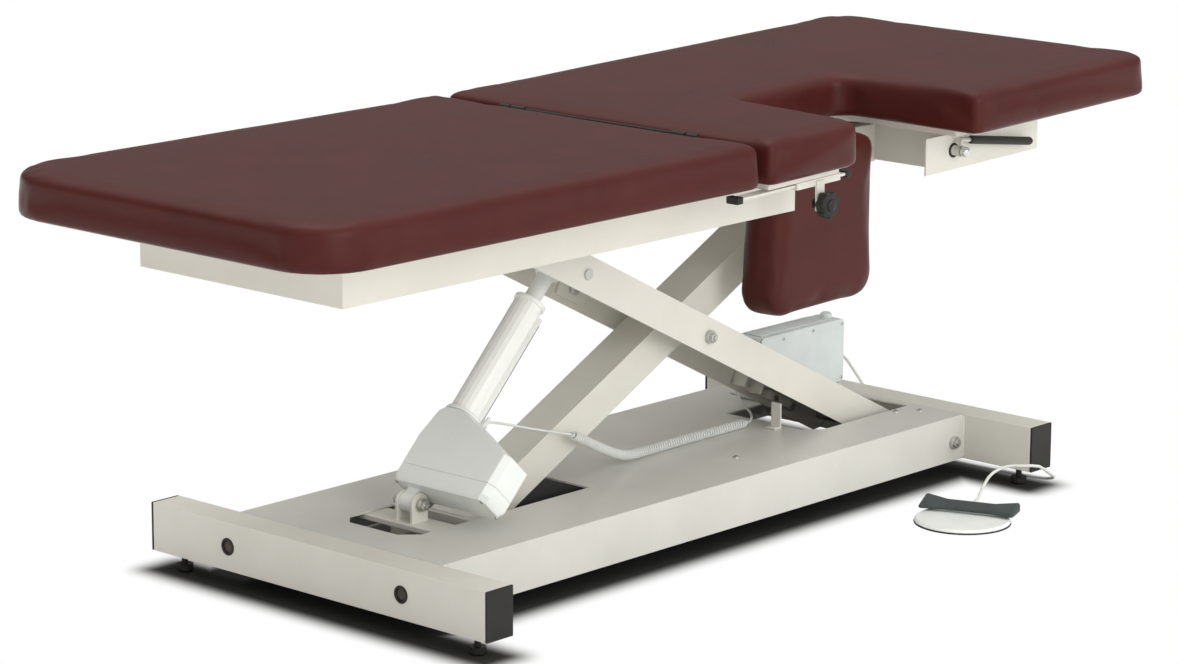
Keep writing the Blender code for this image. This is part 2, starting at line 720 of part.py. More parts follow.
def build_tracks(name, centre_z, hanger_top, start, end):
    """Two tied channels which hold the rollers from above and below."""
    low = centre_z - NECK_Z
    high = centre_z + NECK_Z
    inner = TRACK_INNER_Y
    outer = TRACK_OUTER_Y
    web = outer - SHEET
    bm = bmesh.new()
    for side in (-1, 1):
        outline = [(inner, low - TRACK_FLANGE), (outer, low - TRACK_FLANGE), (outer, hanger_top),
                   (web, hanger_top), (web, high + TRACK_FLANGE), (inner, high + TRACK_FLANGE),
                   (inner, high), (web, high), (web, low), (inner, low)]
        prism([(side * y, z) for y, z in outline], "X", start, end, bm=bm)
    track = add(name, bm, ENAMEL, table)
    tie = block((start + GAP, -web - WELD_OVERLAP / 2, high + TRACK_FLANGE + GAP),
                (start + TRACK_TIE, web + WELD_OVERLAP / 2, hanger_top - GAP))
    unite(track, tie, "tie")


def build_clevis():
    top = DECK_TOP - SHEET - GAP
    half = CLEVIS_STRAP_LENGTH / 2
    strap = block((CLEVIS_X - half, -CLEVIS_STRAP_HALF, top - CLEVIS_STRAP_HEIGHT),
                  (CLEVIS_X + half, CLEVIS_STRAP_HALF, top))
    clevis = add("actuator_clevis", strap, ENAMEL, table)
    radius = EAR_WIDTH / 2
    arc = [math.pi * step / SMALL_STEPS for step in range(SMALL_STEPS + 1)]
    outline = [(CLEVIS_X + radius * math.cos(turn), CLEVIS_Z + radius * math.sin(turn)) for turn in arc]
    outline += [(CLEVIS_X - radius, top - WELD_OVERLAP), (CLEVIS_X + radius, top - WELD_OVERLAP)]
    inner = EYE_WIDTH / 2 + GAP
    outer = inner + EAR_THICKNESS
    for word, side in (("near", -1), ("far", 1)):
        unite(clevis, prism(outline, "Y", side * inner, side * outer), f"ear_{word}")
    pin = (CLEVIS_X, CLEVIS_Z)
    cut(clevis, rod("Y", pin, -outer - OVERRUN, outer + OVERRUN, CLEVIS_PIN_DIAMETER / 2 + GAP), "bore")
    seat = outer + GAP
    add("clevis_pin", bolt("Y", pin, -seat, seat, CLEVIS_PIN_DIAMETER / 2, BOLT_HEAD_DIAMETER / 2,
                           BOLT_HEAD_HEIGHT), ZINC, table)


def build_arms():
    """The outer channel and the inner tube, with their pins, axles and rollers."""
    half = OUTER_ARM_DEPTH / 2
    inner = OUTER_ARM_HALF - OUTER_ARM_WALL
    web = half - OUTER_ARM_WALL
    outline = [(-OUTER_ARM_HALF, -half), (-OUTER_ARM_HALF, half), (OUTER_ARM_HALF, half),
               (OUTER_ARM_HALF, -half), (inner, -half), (inner, web), (-inner, web), (-inner, -half)]
    far_end = -HALF_ARM * 2
    outer_arm = add("outer_arm", prism(outline, "X", far_end - ARM_TAIL, LOWER_ARM_SPAN), ENAMEL, outer_body)
    y_start = INNER_ARM_Y - INNER_ARM_WIDTH / 2
    y_end = INNER_ARM_Y + INNER_ARM_WIDTH / 2
    slot = block((-HALF_ARM + ARM_SLOT_START, y_start - ARM_SLOT_CLEARANCE, web - OVERRUN),
                 (-HALF_ARM + ARM_SLOT_END, y_end + ARM_SLOT_CLEARANCE, half + OVERRUN))
    cut(outer_arm, slot, "crossing_slot")
    past = LOWER_ARM_SPAN + OVERRUN
    reach = OUTER_ARM_HALF + OVERRUN
    for word, side in (("upper", 1), ("lower", -1)):
        wedge = [(-WELD_OVERLAP, half + WELD_OVERLAP / 2), (END_CHAMFER, END_CHAMFER_HEIGHT),
                 (LOWER_ARM_SPAN + GAP, END_FLAT), (past, END_FLAT), (past, half + OVERRUN),
                 (-WELD_OVERLAP, half + OVERRUN)]
        cut(outer_arm, prism([(x, side * z) for x, z in wedge], "Y", -reach, reach), f"end_{word}")
    bores = (("pivot", 0, PIVOT_DIAMETER), ("centre", -HALF_ARM, PIVOT_DIAMETER),
             ("rod", -ROD_PIN_ON_ARM, ROD_PIN_DIAMETER), ("axle", far_end, AXLE_DIAMETER))
    for label, x, diameter in bores:
        cut(outer_arm, rod("Y", (x, 0), -reach, reach, diameter / 2 + GAP), f"{label}_bore")
    seat = OUTER_ARM_HALF + GAP
    add("centre_pivot", bolt("Y", (-HALF_ARM, 0), -seat, seat, PIVOT_DIAMETER / 2,
                             PIVOT_HEAD_DIAMETER / 2, PIVOT_HEAD_HEIGHT), ZINC, outer_body)
    add("rod_end_pin", bolt("Y", (-ROD_PIN_ON_ARM, 0), -seat, seat, ROD_PIN_DIAMETER / 2,
                            BOLT_HEAD_DIAMETER / 2, BOLT_HEAD_HEIGHT / 2), ZINC, outer_body)
    axle_and_rollers("upper", (far_end, 0), outer_body)

    low = INNER_ARM_RISE - INNER_ARM_DEPTH / 2
    high = INNER_ARM_RISE + INNER_ARM_DEPTH / 2
    hole = grown((y_start, y_end, low, high), -SHEET)
    tube = prism(rect(y_start, y_end, low, high), "X", -HALF_ARM - ARM_TAIL, HALF_ARM + ARM_TAIL, hole)
    inner_arm = add("inner_arm", tube, ENAMEL, inner_body)
    nose = HALF_ARM + ARM_TAIL
    corner_cut = [(nose + OVERRUN, OVERRUN), (nose + OVERRUN, high + OVERRUN),
                  (HALF_ARM - ARM_TAIL * 2, high + OVERRUN),
             (HALF_ARM - ARM_TAIL * 2, high - GAP), (nose - GAP, OVERRUN)]
    cut(inner_arm, prism(corner_cut, "Y", y_start - OVERRUN, y_end + OVERRUN), "nose")
    for label, x, diameter in (("top", HALF_ARM, PIVOT_DIAMETER), ("middle", 0, PIVOT_DIAMETER),
                               ("axle", -HALF_ARM, AXLE_DIAMETER)):
        bore = rod("Y", (x, 0), y_start - OVERRUN, y_end + OVERRUN, diameter / 2 + GAP)
        cut(inner_arm, bore, f"{label}_bore")
    axle_and_rollers("lower", (-HALF_ARM, 0), inner_body)


def axle_and_rollers(word, centre, body):
    add(f"{word}_axle", rod("Y", centre, -AXLE_HALF, AXLE_HALF, AXLE_DIAMETER / 2), ZINC, body)
    for name, side in (("near", -1), ("far", 1)):
        start = side * ROLLER_Y - ROLLER_WIDTH / 2
        roller = pipe("Y", centre, start, start + ROLLER_WIDTH, ROLLER_DIAMETER / 2, AXLE_DIAMETER / 2 + GAP)
        add(f"{word}_roller_{name}", roller, BLACK, body)


def build_actuator():
    """The motor housing, its cover with the foot eye, the tube and the rod."""
    def motor_outline(near, far, thickness, corner):
        return chamfered(-near, far, -thickness, thickness, corner)

    full = motor_outline(MOTOR_NEAR, MOTOR_FAR, MOTOR_HALF_THICKNESS, MOTOR_CORNER)
    small = motor_outline(MOTOR_NEAR - MOTOR_CORNER / 2, MOTOR_FAR - MOTOR_CORNER / 2,
                          MOTOR_HALF_THICKNESS - MOTOR_CORNER / 2, MOTOR_CORNER)
    waist = motor_outline(MOTOR_WAIST_Y, MOTOR_FAR - MOTOR_CORNER / 2,
                          MOTOR_HALF_THICKNESS - MOTOR_CORNER / 2, MOTOR_CORNER)
    neck = motor_outline(MOTOR_NECK_Y, MOTOR_NECK_Y, MOTOR_NECK_Y, MOTOR_CORNER)
    housing = add("motor_housing", skin([(MOTOR_SEAM + GAP, full), (MOTOR_SHOULDER, full),
                                         (MOTOR_WAIST, waist), (MOTOR_TOP, neck)], "X"), PLASTIC, motor_body)
    rod_room = ROD_DIAMETER / 2 + RUNNING_GAP / 2
    tube_room = TUBE_DIAMETER / 2 + GAP
    bore = [(ROD_ROOM, 0), (ROD_ROOM, rod_room), (TUBE_START - GAP, rod_room), (TUBE_START - GAP, tube_room),
            (MOTOR_TOP + OVERRUN, tube_room), (MOTOR_TOP + OVERRUN, 0)]
    cut(housing, turned(bore, "X", (0, 0)), "tube_socket")
    cover = add("motor_cover", skin([(MOTOR_BOTTOM, small), (MOTOR_BOTTOM + MOTOR_CORNER, full),
                                     (MOTOR_SEAM, full)], "X"), PLASTIC, motor_body)
    eye_half = EYE_WIDTH / 2
    eye_radius = EYE_DIAMETER / 2
    neck_block = block((0, -eye_half + WELD_OVERLAP, -eye_radius * EYE_NECK_SHARE),
                       (MOTOR_BOTTOM + WELD_OVERLAP, eye_half - WELD_OVERLAP, eye_radius * EYE_NECK_SHARE))
    unite(cover, neck_block, "eye_neck")
    unite(cover, rod("Y", (0, 0), -eye_half, eye_half, eye_radius), "eye")
    bore = rod("Y", (0, 0), -eye_half - OVERRUN, eye_half + OVERRUN, CLEVIS_PIN_DIAMETER / 2 + GAP)
    cut(cover, bore, "bore")
    outside = TUBE_DIAMETER / 2
    bore_radius = outside - TUBE_WALL
    guide = ROD_DIAMETER / 2 + GAP * 2
    profile = [(TUBE_START, bore_radius), (TUBE_START, outside), (TUBE_END - TUBE_COLLAR_LENGTH / 2, outside),
               (TUBE_END, outside - SHEET), (TUBE_END, guide), (TUBE_END - TUBE_COLLAR_LENGTH, guide),
               (TUBE_END - TUBE_COLLAR_LENGTH, bore_radius)]
    add("actuator_tube", turned(profile, "X", (0, 0), closed=True), PLASTIC, motor_body, smooth=True)
    shaft = rod("X", (0, 0), ROD_START, ACTUATOR_LENGTH - WELD_OVERLAP, ROD_DIAMETER / 2)
    piston = add("actuator_rod", shaft, PLASTIC, motor_body)
    half = ROD_EYE_WIDTH / 2
    unite(piston, rod("Y", (ACTUATOR_LENGTH, 0), -half, half, ROD_EYE_DIAMETER / 2), "eye")
    cut(piston, rod("Y", (ACTUATOR_LENGTH, 0), -half - OVERRUN, half + OVERRUN, ROD_EYE_BORE / 2), "bore")


def build_frame():
    """The welded upper frame, the head box, the roller channels and the strut cylinder."""
    half = FRAME_HALF
    rail = half - RAIL_WIDTH
    near_edge = INNER_RAIL_FAR_Y - INNER_RAIL_WIDTH
    end = HEAD_BOX_START - GAP
    plan = [(FRAME_FOOT_X, -half), (NEAR_RAIL_END, -half), (NEAR_RAIL_END, near_edge), (end, near_edge),
            (end, half), (FRAME_FOOT_X, half)]
    frame = add("top_frame", prism(plan, "Z", FRAME_BOTTOM, FRAME_TOP), ENAMEL, table)
    low = FRAME_BOTTOM - OVERRUN
    high = FRAME_TOP + OVERRUN
    starts = (FRAME_FOOT_X + RAIL_WIDTH, FIRST_CROSS_X + CROSS_RAIL_WIDTH, SECOND_CROSS_X + CROSS_RAIL_WIDTH)
    ends = (FIRST_CROSS_X, SECOND_CROSS_X, THIRD_CROSS_X)
    for index, (first, last) in enumerate(zip(starts, ends)):
        cut(frame, block((first, -rail, low), (last, rail, high)), f"bay_{index}")
    last_bay = THIRD_CROSS_X + CROSS_RAIL_WIDTH
    cut(frame, block((last_bay, INNER_RAIL_FAR_Y, low), (end + OVERRUN, rail, high)), "bay_last")
    under = FRAME_TOP - CROSS_RAIL_HEIGHT
    cut(frame, block((FRAME_FOOT_X + RAIL_WIDTH - WELD_OVERLAP, -rail + GAP, low),
                     (last_bay + WELD_OVERLAP, rail - GAP, under)), "under_cross_rails")
    inset = SHEET
    outer = half - inset
    inner = rail + inset
    channel = [(FRAME_FOOT_X + inset, -outer), (NEAR_RAIL_END - inset, -outer),
               (NEAR_RAIL_END - inset, -inner),
               (FRAME_FOOT_X + RAIL_WIDTH - inset * 2, -inner),
               (FRAME_FOOT_X + RAIL_WIDTH - inset * 2, inner),
               (end - inset, inner), (end - inset, outer), (FRAME_FOOT_X + inset, outer)]
    cut(frame, prism(channel, "Z", low, FRAME_TOP - inset), "rail_hollow")
    cut(frame, block((NEAR_RAIL_END, near_edge + inset, low),
                     (end - inset, INNER_RAIL_FAR_Y - inset, FRAME_TOP - inset)),
        "inner_rail_hollow")
    build_head_box()
    build_tracks("frame_track", TOP_PIN_Z, FRAME_TOP - SHEET, FIRST_CROSS_X + CROSS_RAIL_WIDTH + GAP,
                 SECOND_CROSS_X - GAP)
    pin_x = SEAM_X - STRUT_STROKE / 2
    cylinder_end = pin_x - STRUT_CYLINDER_DIAMETER
    start = cylinder_end - STRUT_CYLINDER_LENGTH
    radius = STRUT_CYLINDER_DIAMETER / 2
    bore = STRUT_ROD_DIAMETER / 2 + GAP
    profile = [(start, 0), (start, radius), (cylinder_end, radius), (cylinder_end, bore),
               (start + radius, bore), (start + radius, 0)]
    centre = (STRUT_Y, STRUT_Z)
    add("strut_cylinder", turned(profile, "X", centre), BLACK, table)
    inserted = pin_x - STRUT_CYLINDER_LENGTH * STRUT_INSERT_SHARE
    shaft = rod("X", centre, inserted, pin_x + STRUT_PIN_DIAMETER, STRUT_ROD_DIAMETER / 2)
    strut = add("strut_rod", shaft, CHROME, table)
    pin_end = CAM_Y + LEVER_PLATE + WELD_OVERLAP * 2
    strut_pin = rod("Y", (pin_x, STRUT_Z), STRUT_Y - KNUCKLE_PIN, pin_end, STRUT_PIN_DIAMETER / 2 - GAP)
    unite(strut, strut_pin, "pin")


def build_head_box():
    """A sheet box at the head end, stepped back at its near side to clear the drop window."""
    start = HEAD_BOX_START
    end = HEAD_BOX_END
    step = start + HEAD_BOX_RECESS
    half = FRAME_HALF
    wall = SHEET
    plan = [(start, -half), (end, -half), (end, half), (start, half), (start, HEAD_BOX_RECESS_Y),
            (step, HEAD_BOX_RECESS_Y), (step, -half + wall), (start, -half + wall)]
    box = add("head_box", prism(plan, "Z", FRAME_BOTTOM, FRAME_TOP), ENAMEL, table)
    room = [(step + wall, -half + wall), (end - wall, -half + wall), (end - wall, half - wall),
            (start + wall, half - wall), (start + wall, HEAD_BOX_RECESS_Y + wall),
            (step + wall, HEAD_BOX_RECESS_Y + wall)]
    cut(box, prism(room, "Z", FRAME_BOTTOM - OVERRUN, FRAME_TOP - wall), "room")
    under = [(start - OVERRUN, FRAME_BOTTOM - OVERRUN), (end + OVERRUN, FRAME_BOTTOM - OVERRUN),
             (end + OVERRUN, FRAME_BOTTOM + HEAD_BOX_LIFT_END),
             (start - OVERRUN, FRAME_BOTTOM + HEAD_BOX_LIFT_START)]
    cut(box, prism(under, "Y", -half - OVERRUN, half + OVERRUN), "underside")
    y_start = INNER_ARM_Y - INNER_ARM_WIDTH / 2
    y_end = INNER_ARM_Y + INNER_ARM_WIDTH / 2
    notch = block((start - OVERRUN, y_start - ARM_SLOT_CLEARANCE, FRAME_BOTTOM - OVERRUN),
                  (start + wall + WELD_OVERLAP, y_end + ARM_SLOT_CLEARANCE, FRAME_BOTTOM + BOX_NOTCH_HEIGHT))
    cut(box, notch, "arm_notch")
    radius = PIVOT_PLATE_RADIUS
    arc = [math.pi + math.pi * step_index / SMALL_STEPS for step_index in range(SMALL_STEPS + 1)]
    outline = [(ARM_PIVOT_X + radius * math.cos(turn), TOP_PIN_Z + radius * math.sin(turn)) for turn in arc]
    top = FRAME_TOP - wall / 2
    outline += [(ARM_PIVOT_X + radius, top), (ARM_PIVOT_X - radius, top)]
    gap = RUNNING_GAP
    plates = ((y_start - gap - PIVOT_PLATE, y_start - gap), (y_end + gap, y_end + gap + PIVOT_PLATE))
    for index, (first, last) in enumerate(plates):
        unite(box, prism(outline, "Y", first, last), f"plate_{index}")
    unite(box, release_stud(), "release_stud")
    pin = (ARM_PIVOT_X, TOP_PIN_Z)
    low = plates[0][0]
    high = plates[1][1]
    cut(box, rod("Y", pin, low - OVERRUN, high + OVERRUN, PIVOT_DIAMETER / 2 + GAP), "pin_bore")
    add("top_pivot", bolt("Y", pin, low - GAP, high + GAP, PIVOT_DIAMETER / 2, PIVOT_HEAD_DIAMETER / 2,
                          PIVOT_HEAD_HEIGHT), ZINC, table)


def board(name, corners, plate, low, parent, steps=CORNER_STEPS):
    """An upholstery board whose upper part sits in the pad and whose lower part shows."""
    seam = low + SEAT_PLATE
    inset = BOARD_INSET + GAP
    rings = [(PLATE_INSET, low, plate), (PLATE_INSET, seam, plate), (inset, seam),
             (inset, seam + BOARD_THICKNESS)]
    return add(name, lofted(corners, rings, steps), ENAMEL, parent)


def foot_outline():
    seam = SEAM_X - SEAM_GAP / 2
    return [(PAD_FOOT_X, -PAD_HALF, FOOT_CORNER_RADIUS), (seam, -PAD_HALF, SEAM_CORNER_RADIUS),
            (seam, PAD_HALF, SEAM_CORNER_RADIUS), (PAD_FOOT_X, PAD_HALF, FOOT_CORNER_RADIUS)]


def foot_plate():
    """The foot outline drawn in under the pad, so that the board doesn't show past its edge."""
    return [(max(x, PAD_FOOT_X + PLATE_DRAW), math.copysign(PAD_HALF - PLATE_DRAW, y), radius)
            for x, y, radius in foot_outline()]


def head_plate():
    """The head outline drawn in at its head end and sides, but not at the lobe that carries the bar guide."""
    corners = head_outline()
    end = PAD_HEAD_X - SEAM_X - PLATE_DRAW
    side = PAD_HALF - PLATE_DRAW
    kept = corners[:-DRAWN_CORNERS]
    drawn = corners[-DRAWN_CORNERS:]
    return kept + [(min(x, end), math.copysign(side, y), radius) for x, y, radius in drawn]


def head_outline():
    seam = SEAM_GAP / 2
    foot_x = WINDOW_FOOT_X - SEAM_X
    head_x = WINDOW_HEAD_X - SEAM_X
    end = PAD_HEAD_X - SEAM_X
    return [(seam, -PAD_HALF, SEAM_CORNER_RADIUS), (foot_x - WINDOW_FOOT_FLARE, -PAD_HALF, LOBE_RADIUS),
            (foot_x, WINDOW_INNER_Y, WINDOW_INNER_RADIUS), (head_x, WINDOW_INNER_Y, WINDOW_INNER_RADIUS),
            (head_x - WINDOW_HEAD_FLARE, -PAD_HALF, WINDOW_HEAD_RADIUS), (end, -PAD_HALF, HEAD_CORNER_RADIUS),
            (end, PAD_HALF, HEAD_CORNER_RADIUS), (seam, PAD_HALF, SEAM_CORNER_RADIUS)]


def window_outline():
    foot_x = WINDOW_FOOT_X - SEAM_X + WINDOW_CLEARANCE
    head_x = WINDOW_HEAD_X - SEAM_X - WINDOW_CLEARANCE
    inner = WINDOW_INNER_Y - WINDOW_CLEARANCE - WINDOW_HINGE_Y
    outer = -PAD_HALF - WINDOW_HINGE_Y
    corner = WINDOW_INNER_RADIUS - WINDOW_CLEARANCE
    return [(foot_x - WINDOW_FOOT_FLARE, outer, WINDOW_OUTER_RADIUS),
            (head_x - WINDOW_HEAD_FLARE, outer, WINDOW_OUTER_RADIUS), (head_x, inner, corner),
            (foot_x, inner, corner)]


def build_upholstery():
    """Three pads on their boards, with the hinges that join them."""
    board_low = FRAME_TOP + GAP
    foot_board = board("foot_board", foot_outline(), foot_plate(), board_low, table, FOOT_CORNER_STEPS)
    relief = block((SEAM_X - CAM_INNER - CAM_HALF, CAM_Y - RUNNING_GAP, board_low - OVERRUN),
                   (SEAM_X - SEAM_GAP / 2, CAM_Y + LEVER_PLATE + RUNNING_GAP, board_low + CAM_RELIEF))
    cut(foot_board, relief, "lever_relief")
    pad("foot_cushion", foot_outline(), PAD_BOTTOM, table, FOOT_CORNER_STEPS)
    back_low = board_low - BACK_HINGE_Z
    board("back_board", head_outline(), head_plate(), back_low, back_body)
    pad("head_cushion", head_outline(), PAD_BOTTOM - BACK_HINGE_Z, back_body, CORNER_STEPS)
    window_low = board_low - WINDOW_HINGE_Z
    window_board = board("window_board", window_outline(), window_outline(), window_low, window_body)
    pad("window_cushion", window_outline(), PAD_BOTTOM - WINDOW_HINGE_Z, window_body, CORNER_STEPS)
    inner = WINDOW_INNER_Y - WINDOW_CLEARANCE - WINDOW_HINGE_Y - PLATE_INSET
    for index, x in enumerate(WINDOW_STRAPS):
        start = x - SEAM_X
        strap = block((start, inner - WELD_OVERLAP * 2, -WINDOW_STRAP_HALF),
                      (start + WINDOW_STRAP, -WINDOW_STRAP_HALF, WINDOW_STRAP_HALF))
        unite(window_board, strap, f"strap_{index}")
        unite(window_board, rod("X", (0, 0), start, start + WINDOW_STRAP, WINDOW_KNUCKLE), f"knuckle_{index}")
        bore = rod("X", (0, 0), start - SHEET, start + WINDOW_STRAP + SHEET, WINDOW_HINGE_RADIUS + GAP)
        cut(window_board, bore, f"bore_{index}")
    hinge_z = WINDOW_HINGE_Z - BACK_HINGE_Z
    start = WINDOW_ROD_START - SEAM_X
    end = WINDOW_ROD_END - SEAM_X
    hinge_rod = rod("X", (WINDOW_HINGE_Y, hinge_z), start, end, WINDOW_HINGE_RADIUS)
    hinge = add("window_hinge", hinge_rod, ZINC, back_body)
    board_edge = WINDOW_INNER_Y + PLATE_INSET - GAP
    for index, x in enumerate((start, (start + end) / 2, end)):
        lug = block((x - WINDOW_LUG / 2, WINDOW_LUG_NEAR, hinge_z - WINDOW_LUG_LOW),
                    (x + WINDOW_LUG / 2, board_edge, hinge_z + WINDOW_LUG_TOP))
        unite(hinge, lug, f"lug_{index}")
    build_seam_hinges(back_low)
    build_lever_plate(back_low)


def build_seam_hinges(back_low):
    """A hinge with two pairs of thin blades, which stands in the gap between the pads."""
    foot = FRAME_TOP + GAP
    reach = (BLADE_OUTER[0] + BLADE_OUTER[1]) / 2
    hinge_rod = rod("Y", (SEAM_X, BACK_HINGE_Z), -reach, reach, KNUCKLE_PIN, SMALL_STEPS)
    pin = add("seam_hinge_pin", hinge_rod, ZINC, table)
    strap = block((0, -BLADE_INNER[1], back_low),
                  (SEAM_GAP / 2 + PLATE_INSET - GAP, BLADE_INNER[1], back_low + SHEET))
    leaf = add("seam_hinge_leaf", strap, ZINC, back_body)
    for word, side in (("near", -1), ("far", 1)):
        outer = sorted(side * y for y in BLADE_OUTER)
        inner = sorted(side * y for y in BLADE_INNER)
        unite(pin, knuckle(outer, SEAM_X, BACK_HINGE_Z, foot, 0), f"blade_{word}")
        unite(leaf, knuckle(inner, 0, 0, back_low + GAP, KNUCKLE_PIN + GAP), f"blade_{word}")


def knuckle(limits, x, z, foot, bore):
    """A blade that ends in a round knuckle, cut out of one plate outline."""
    half = HINGE_BLADE / 2
    radius = KNUCKLE_RADIUS
    start = math.asin(half / radius)
    sweep = math.tau - start * 2
    turns = [-math.pi / 2 + start + sweep * step / SMALL_STEPS for step in range(SMALL_STEPS + 1)]
    ring = [(x + radius * math.cos(turn), z + radius * math.sin(turn)) for turn in turns]
    outline = ring + [(x - half, foot), (x + half, foot)]
    if bore == 0:
        return prism(outline, "Y", *limits)
    inner = [(x + bore * math.cos(turn), z + bore * math.sin(turn)) for turn in turns]
    last = turns[-1]
    first = turns[0] + math.tau
    gap = (first - last) / CLOSING_STEPS
    inner += [(x + bore * math.cos(last + gap), z + bore * math.sin(last + gap)),
              (x + bore * math.cos(last + gap * 2), z + bore * math.sin(last + gap * 2))]
    return prism(outline, "Y", *limits, hole=inner)


def build_lever_plate(back_low):
    """The slotted plate that the strut's pin pushes to raise the backrest."""
    depth = BACK_HINGE_Z - STRUT_Z
    middle = -math.pi / 2 - BACK_RISE / 2
    along = Vector((math.cos(middle), math.sin(middle)))
    side = Vector((-along.y, along.x))
    outer = depth / math.cos(BACK_RISE / 2) + OVERRUN
    high_near = along * (outer + OVERRUN) - side * CAM_HALF
    low_near = along * (outer + OVERRUN) + side * CAM_HALF
    top = back_low - GAP
    rise = along * CAM_INNER - side * CAM_HALF
    outline = [(CAM_ROOT_END, top), (CAM_ROOT_START, top), (rise.x, -CAM_TOP), tuple(high_near),
               tuple(low_near)]
    outline += list(reversed(CAM_WEB))
    plate = add("back_lever_plate", prism(outline, "Y", CAM_Y, CAM_Y + LEVER_PLATE), ZINC, back_body)
    half = STRUT_PIN_DIAMETER / 2 + SLOT_CLEARANCE
    first = along * (depth - half)
    last = along * (outer - SLOT_CLEARANCE)
    slot = [first - side * half, last - side * half, last + side * half, first + side * half]
    opening = prism([tuple(point) for point in slot], "Y", CAM_Y - OVERRUN, CAM_Y + LEVER_PLATE + OVERRUN)
    cut(plate, opening, "slot")


def build_controls():
    """The control box, the release lever, the support bar with its lock knob, and the pedal."""
    end = BOX_START + BOX_LENGTH
    low = DECK_TOP + GAP
    high = low + BOX_HEIGHT
    outline = chamfered(BOX_START, end, low, high, BOX_CORNER / 2)
    near = BOX_NEAR_Y
    far = BOX_NEAR_Y + BOX_THICKNESS
    add("control_box", prism(outline, "Y", near + BOX_COVER + GAP, far), PLASTIC, table)
    add("control_box_cover", prism(outline, "Y", near, near + BOX_COVER), PLASTIC, table)
    plug_y = [near + y for y, z in SOCKET_PLACES]
    plug_z = low + SOCKET_PLACES[0][1]
    flange = block((BOX_START - SHEET, min(plug_y) - SOCKET_RADIUS * 2, plug_z - SOCKET_RADIUS * 2),
                   (BOX_START - GAP, max(plug_y) + SOCKET_RADIUS * 2, plug_z + SOCKET_RADIUS * 2))
    plugs = add("control_box_plugs", flange, BLACK, table)
    for index, y in enumerate(plug_y):
        plug_start = BOX_START - SOCKET_LENGTH
        plug = rod("X", (y, plug_z), plug_start, BOX_START - GAP * 2, SOCKET_RADIUS, SMALL_STEPS)
        unite(plugs, plug, f"plug_{index}")
    upright = block((POST_X - SHEET / 2, POST_Y - POST_WIDTH / 2, low),
                    (POST_X + SHEET / 2, POST_Y + POST_WIDTH / 2, low + POST_HEIGHT))
    post = add("cord_post", upright, ENAMEL, table)
    unite(post, block((POST_X - POST_FOOT, POST_Y - POST_WIDTH / 2, low),
                      (POST_X, POST_Y + POST_WIDTH / 2, low + SHEET)), "foot")
    build_release_lever()
    build_support_bar()
    build_pedal()


def build_release_lever():
    radius = LEVER_ROD_DIAMETER / 2
    boss = LEVER_BOSS_DIAMETER / 2
    stud = BOLT_DIAMETER / 2
    handle = rod("X", (0, LEVER_RISE), -radius, LEVER_LENGTH - WELD_OVERLAP, radius, SMALL_STEPS)
    lever = add("release_lever", handle, ZINC, lever_body)
    flat = radius - WELD_OVERLAP / 2
    unite(lever, block((-radius, -flat, 0), (radius, flat, LEVER_RISE)), "link")
    unite(lever, rod("Y", (0, 0), -radius - WELD_OVERLAP / 2, radius + WELD_OVERLAP / 2, boss), "boss")
    cut(lever, rod("Y", (0, 0), -OVERRUN, OVERRUN, stud + GAP), "bore")
    start = LEVER_LENGTH - GRIP_LENGTH
    grip = GRIP_DIAMETER / 2
    profile = [(LEVER_LENGTH, 0), (LEVER_LENGTH, radius + GAP), (start, radius + GAP),
               (start, grip - SHEET / 2), (start + SHEET, grip), (LEVER_LENGTH - SHEET, grip),
               (LEVER_LENGTH + SHEET, grip - SHEET),
               (LEVER_LENGTH + SHEET, 0)]
    add("release_grip", turned(profile, "X", (0, LEVER_RISE), SMALL_STEPS), BLACK, lever_body)


def release_stud():
    """The headed stud on the head box that the release lever turns on."""
    radius = LEVER_ROD_DIAMETER / 2
    outer = -FRAME_HALF - LEVER_STANDOFF - radius - WELD_OVERLAP
    inner = outer + LEVER_BOSS_DIAMETER / 2 + SHEET
    stud = BOLT_DIAMETER / 2
    head = BOLT_HEAD_DIAMETER / 2
    root = -FRAME_HALF + SHEET / 2
    profile = [(outer - SHEET, 0), (outer - SHEET, head), (outer, head), (outer, stud), (inner, stud),
               (inner, head), (root, head), (root, 0)]
    return turned(profile, "Y", (LEVER_X, FRAME_BOTTOM + BOX_NOTCH_HEIGHT), SMALL_STEPS)


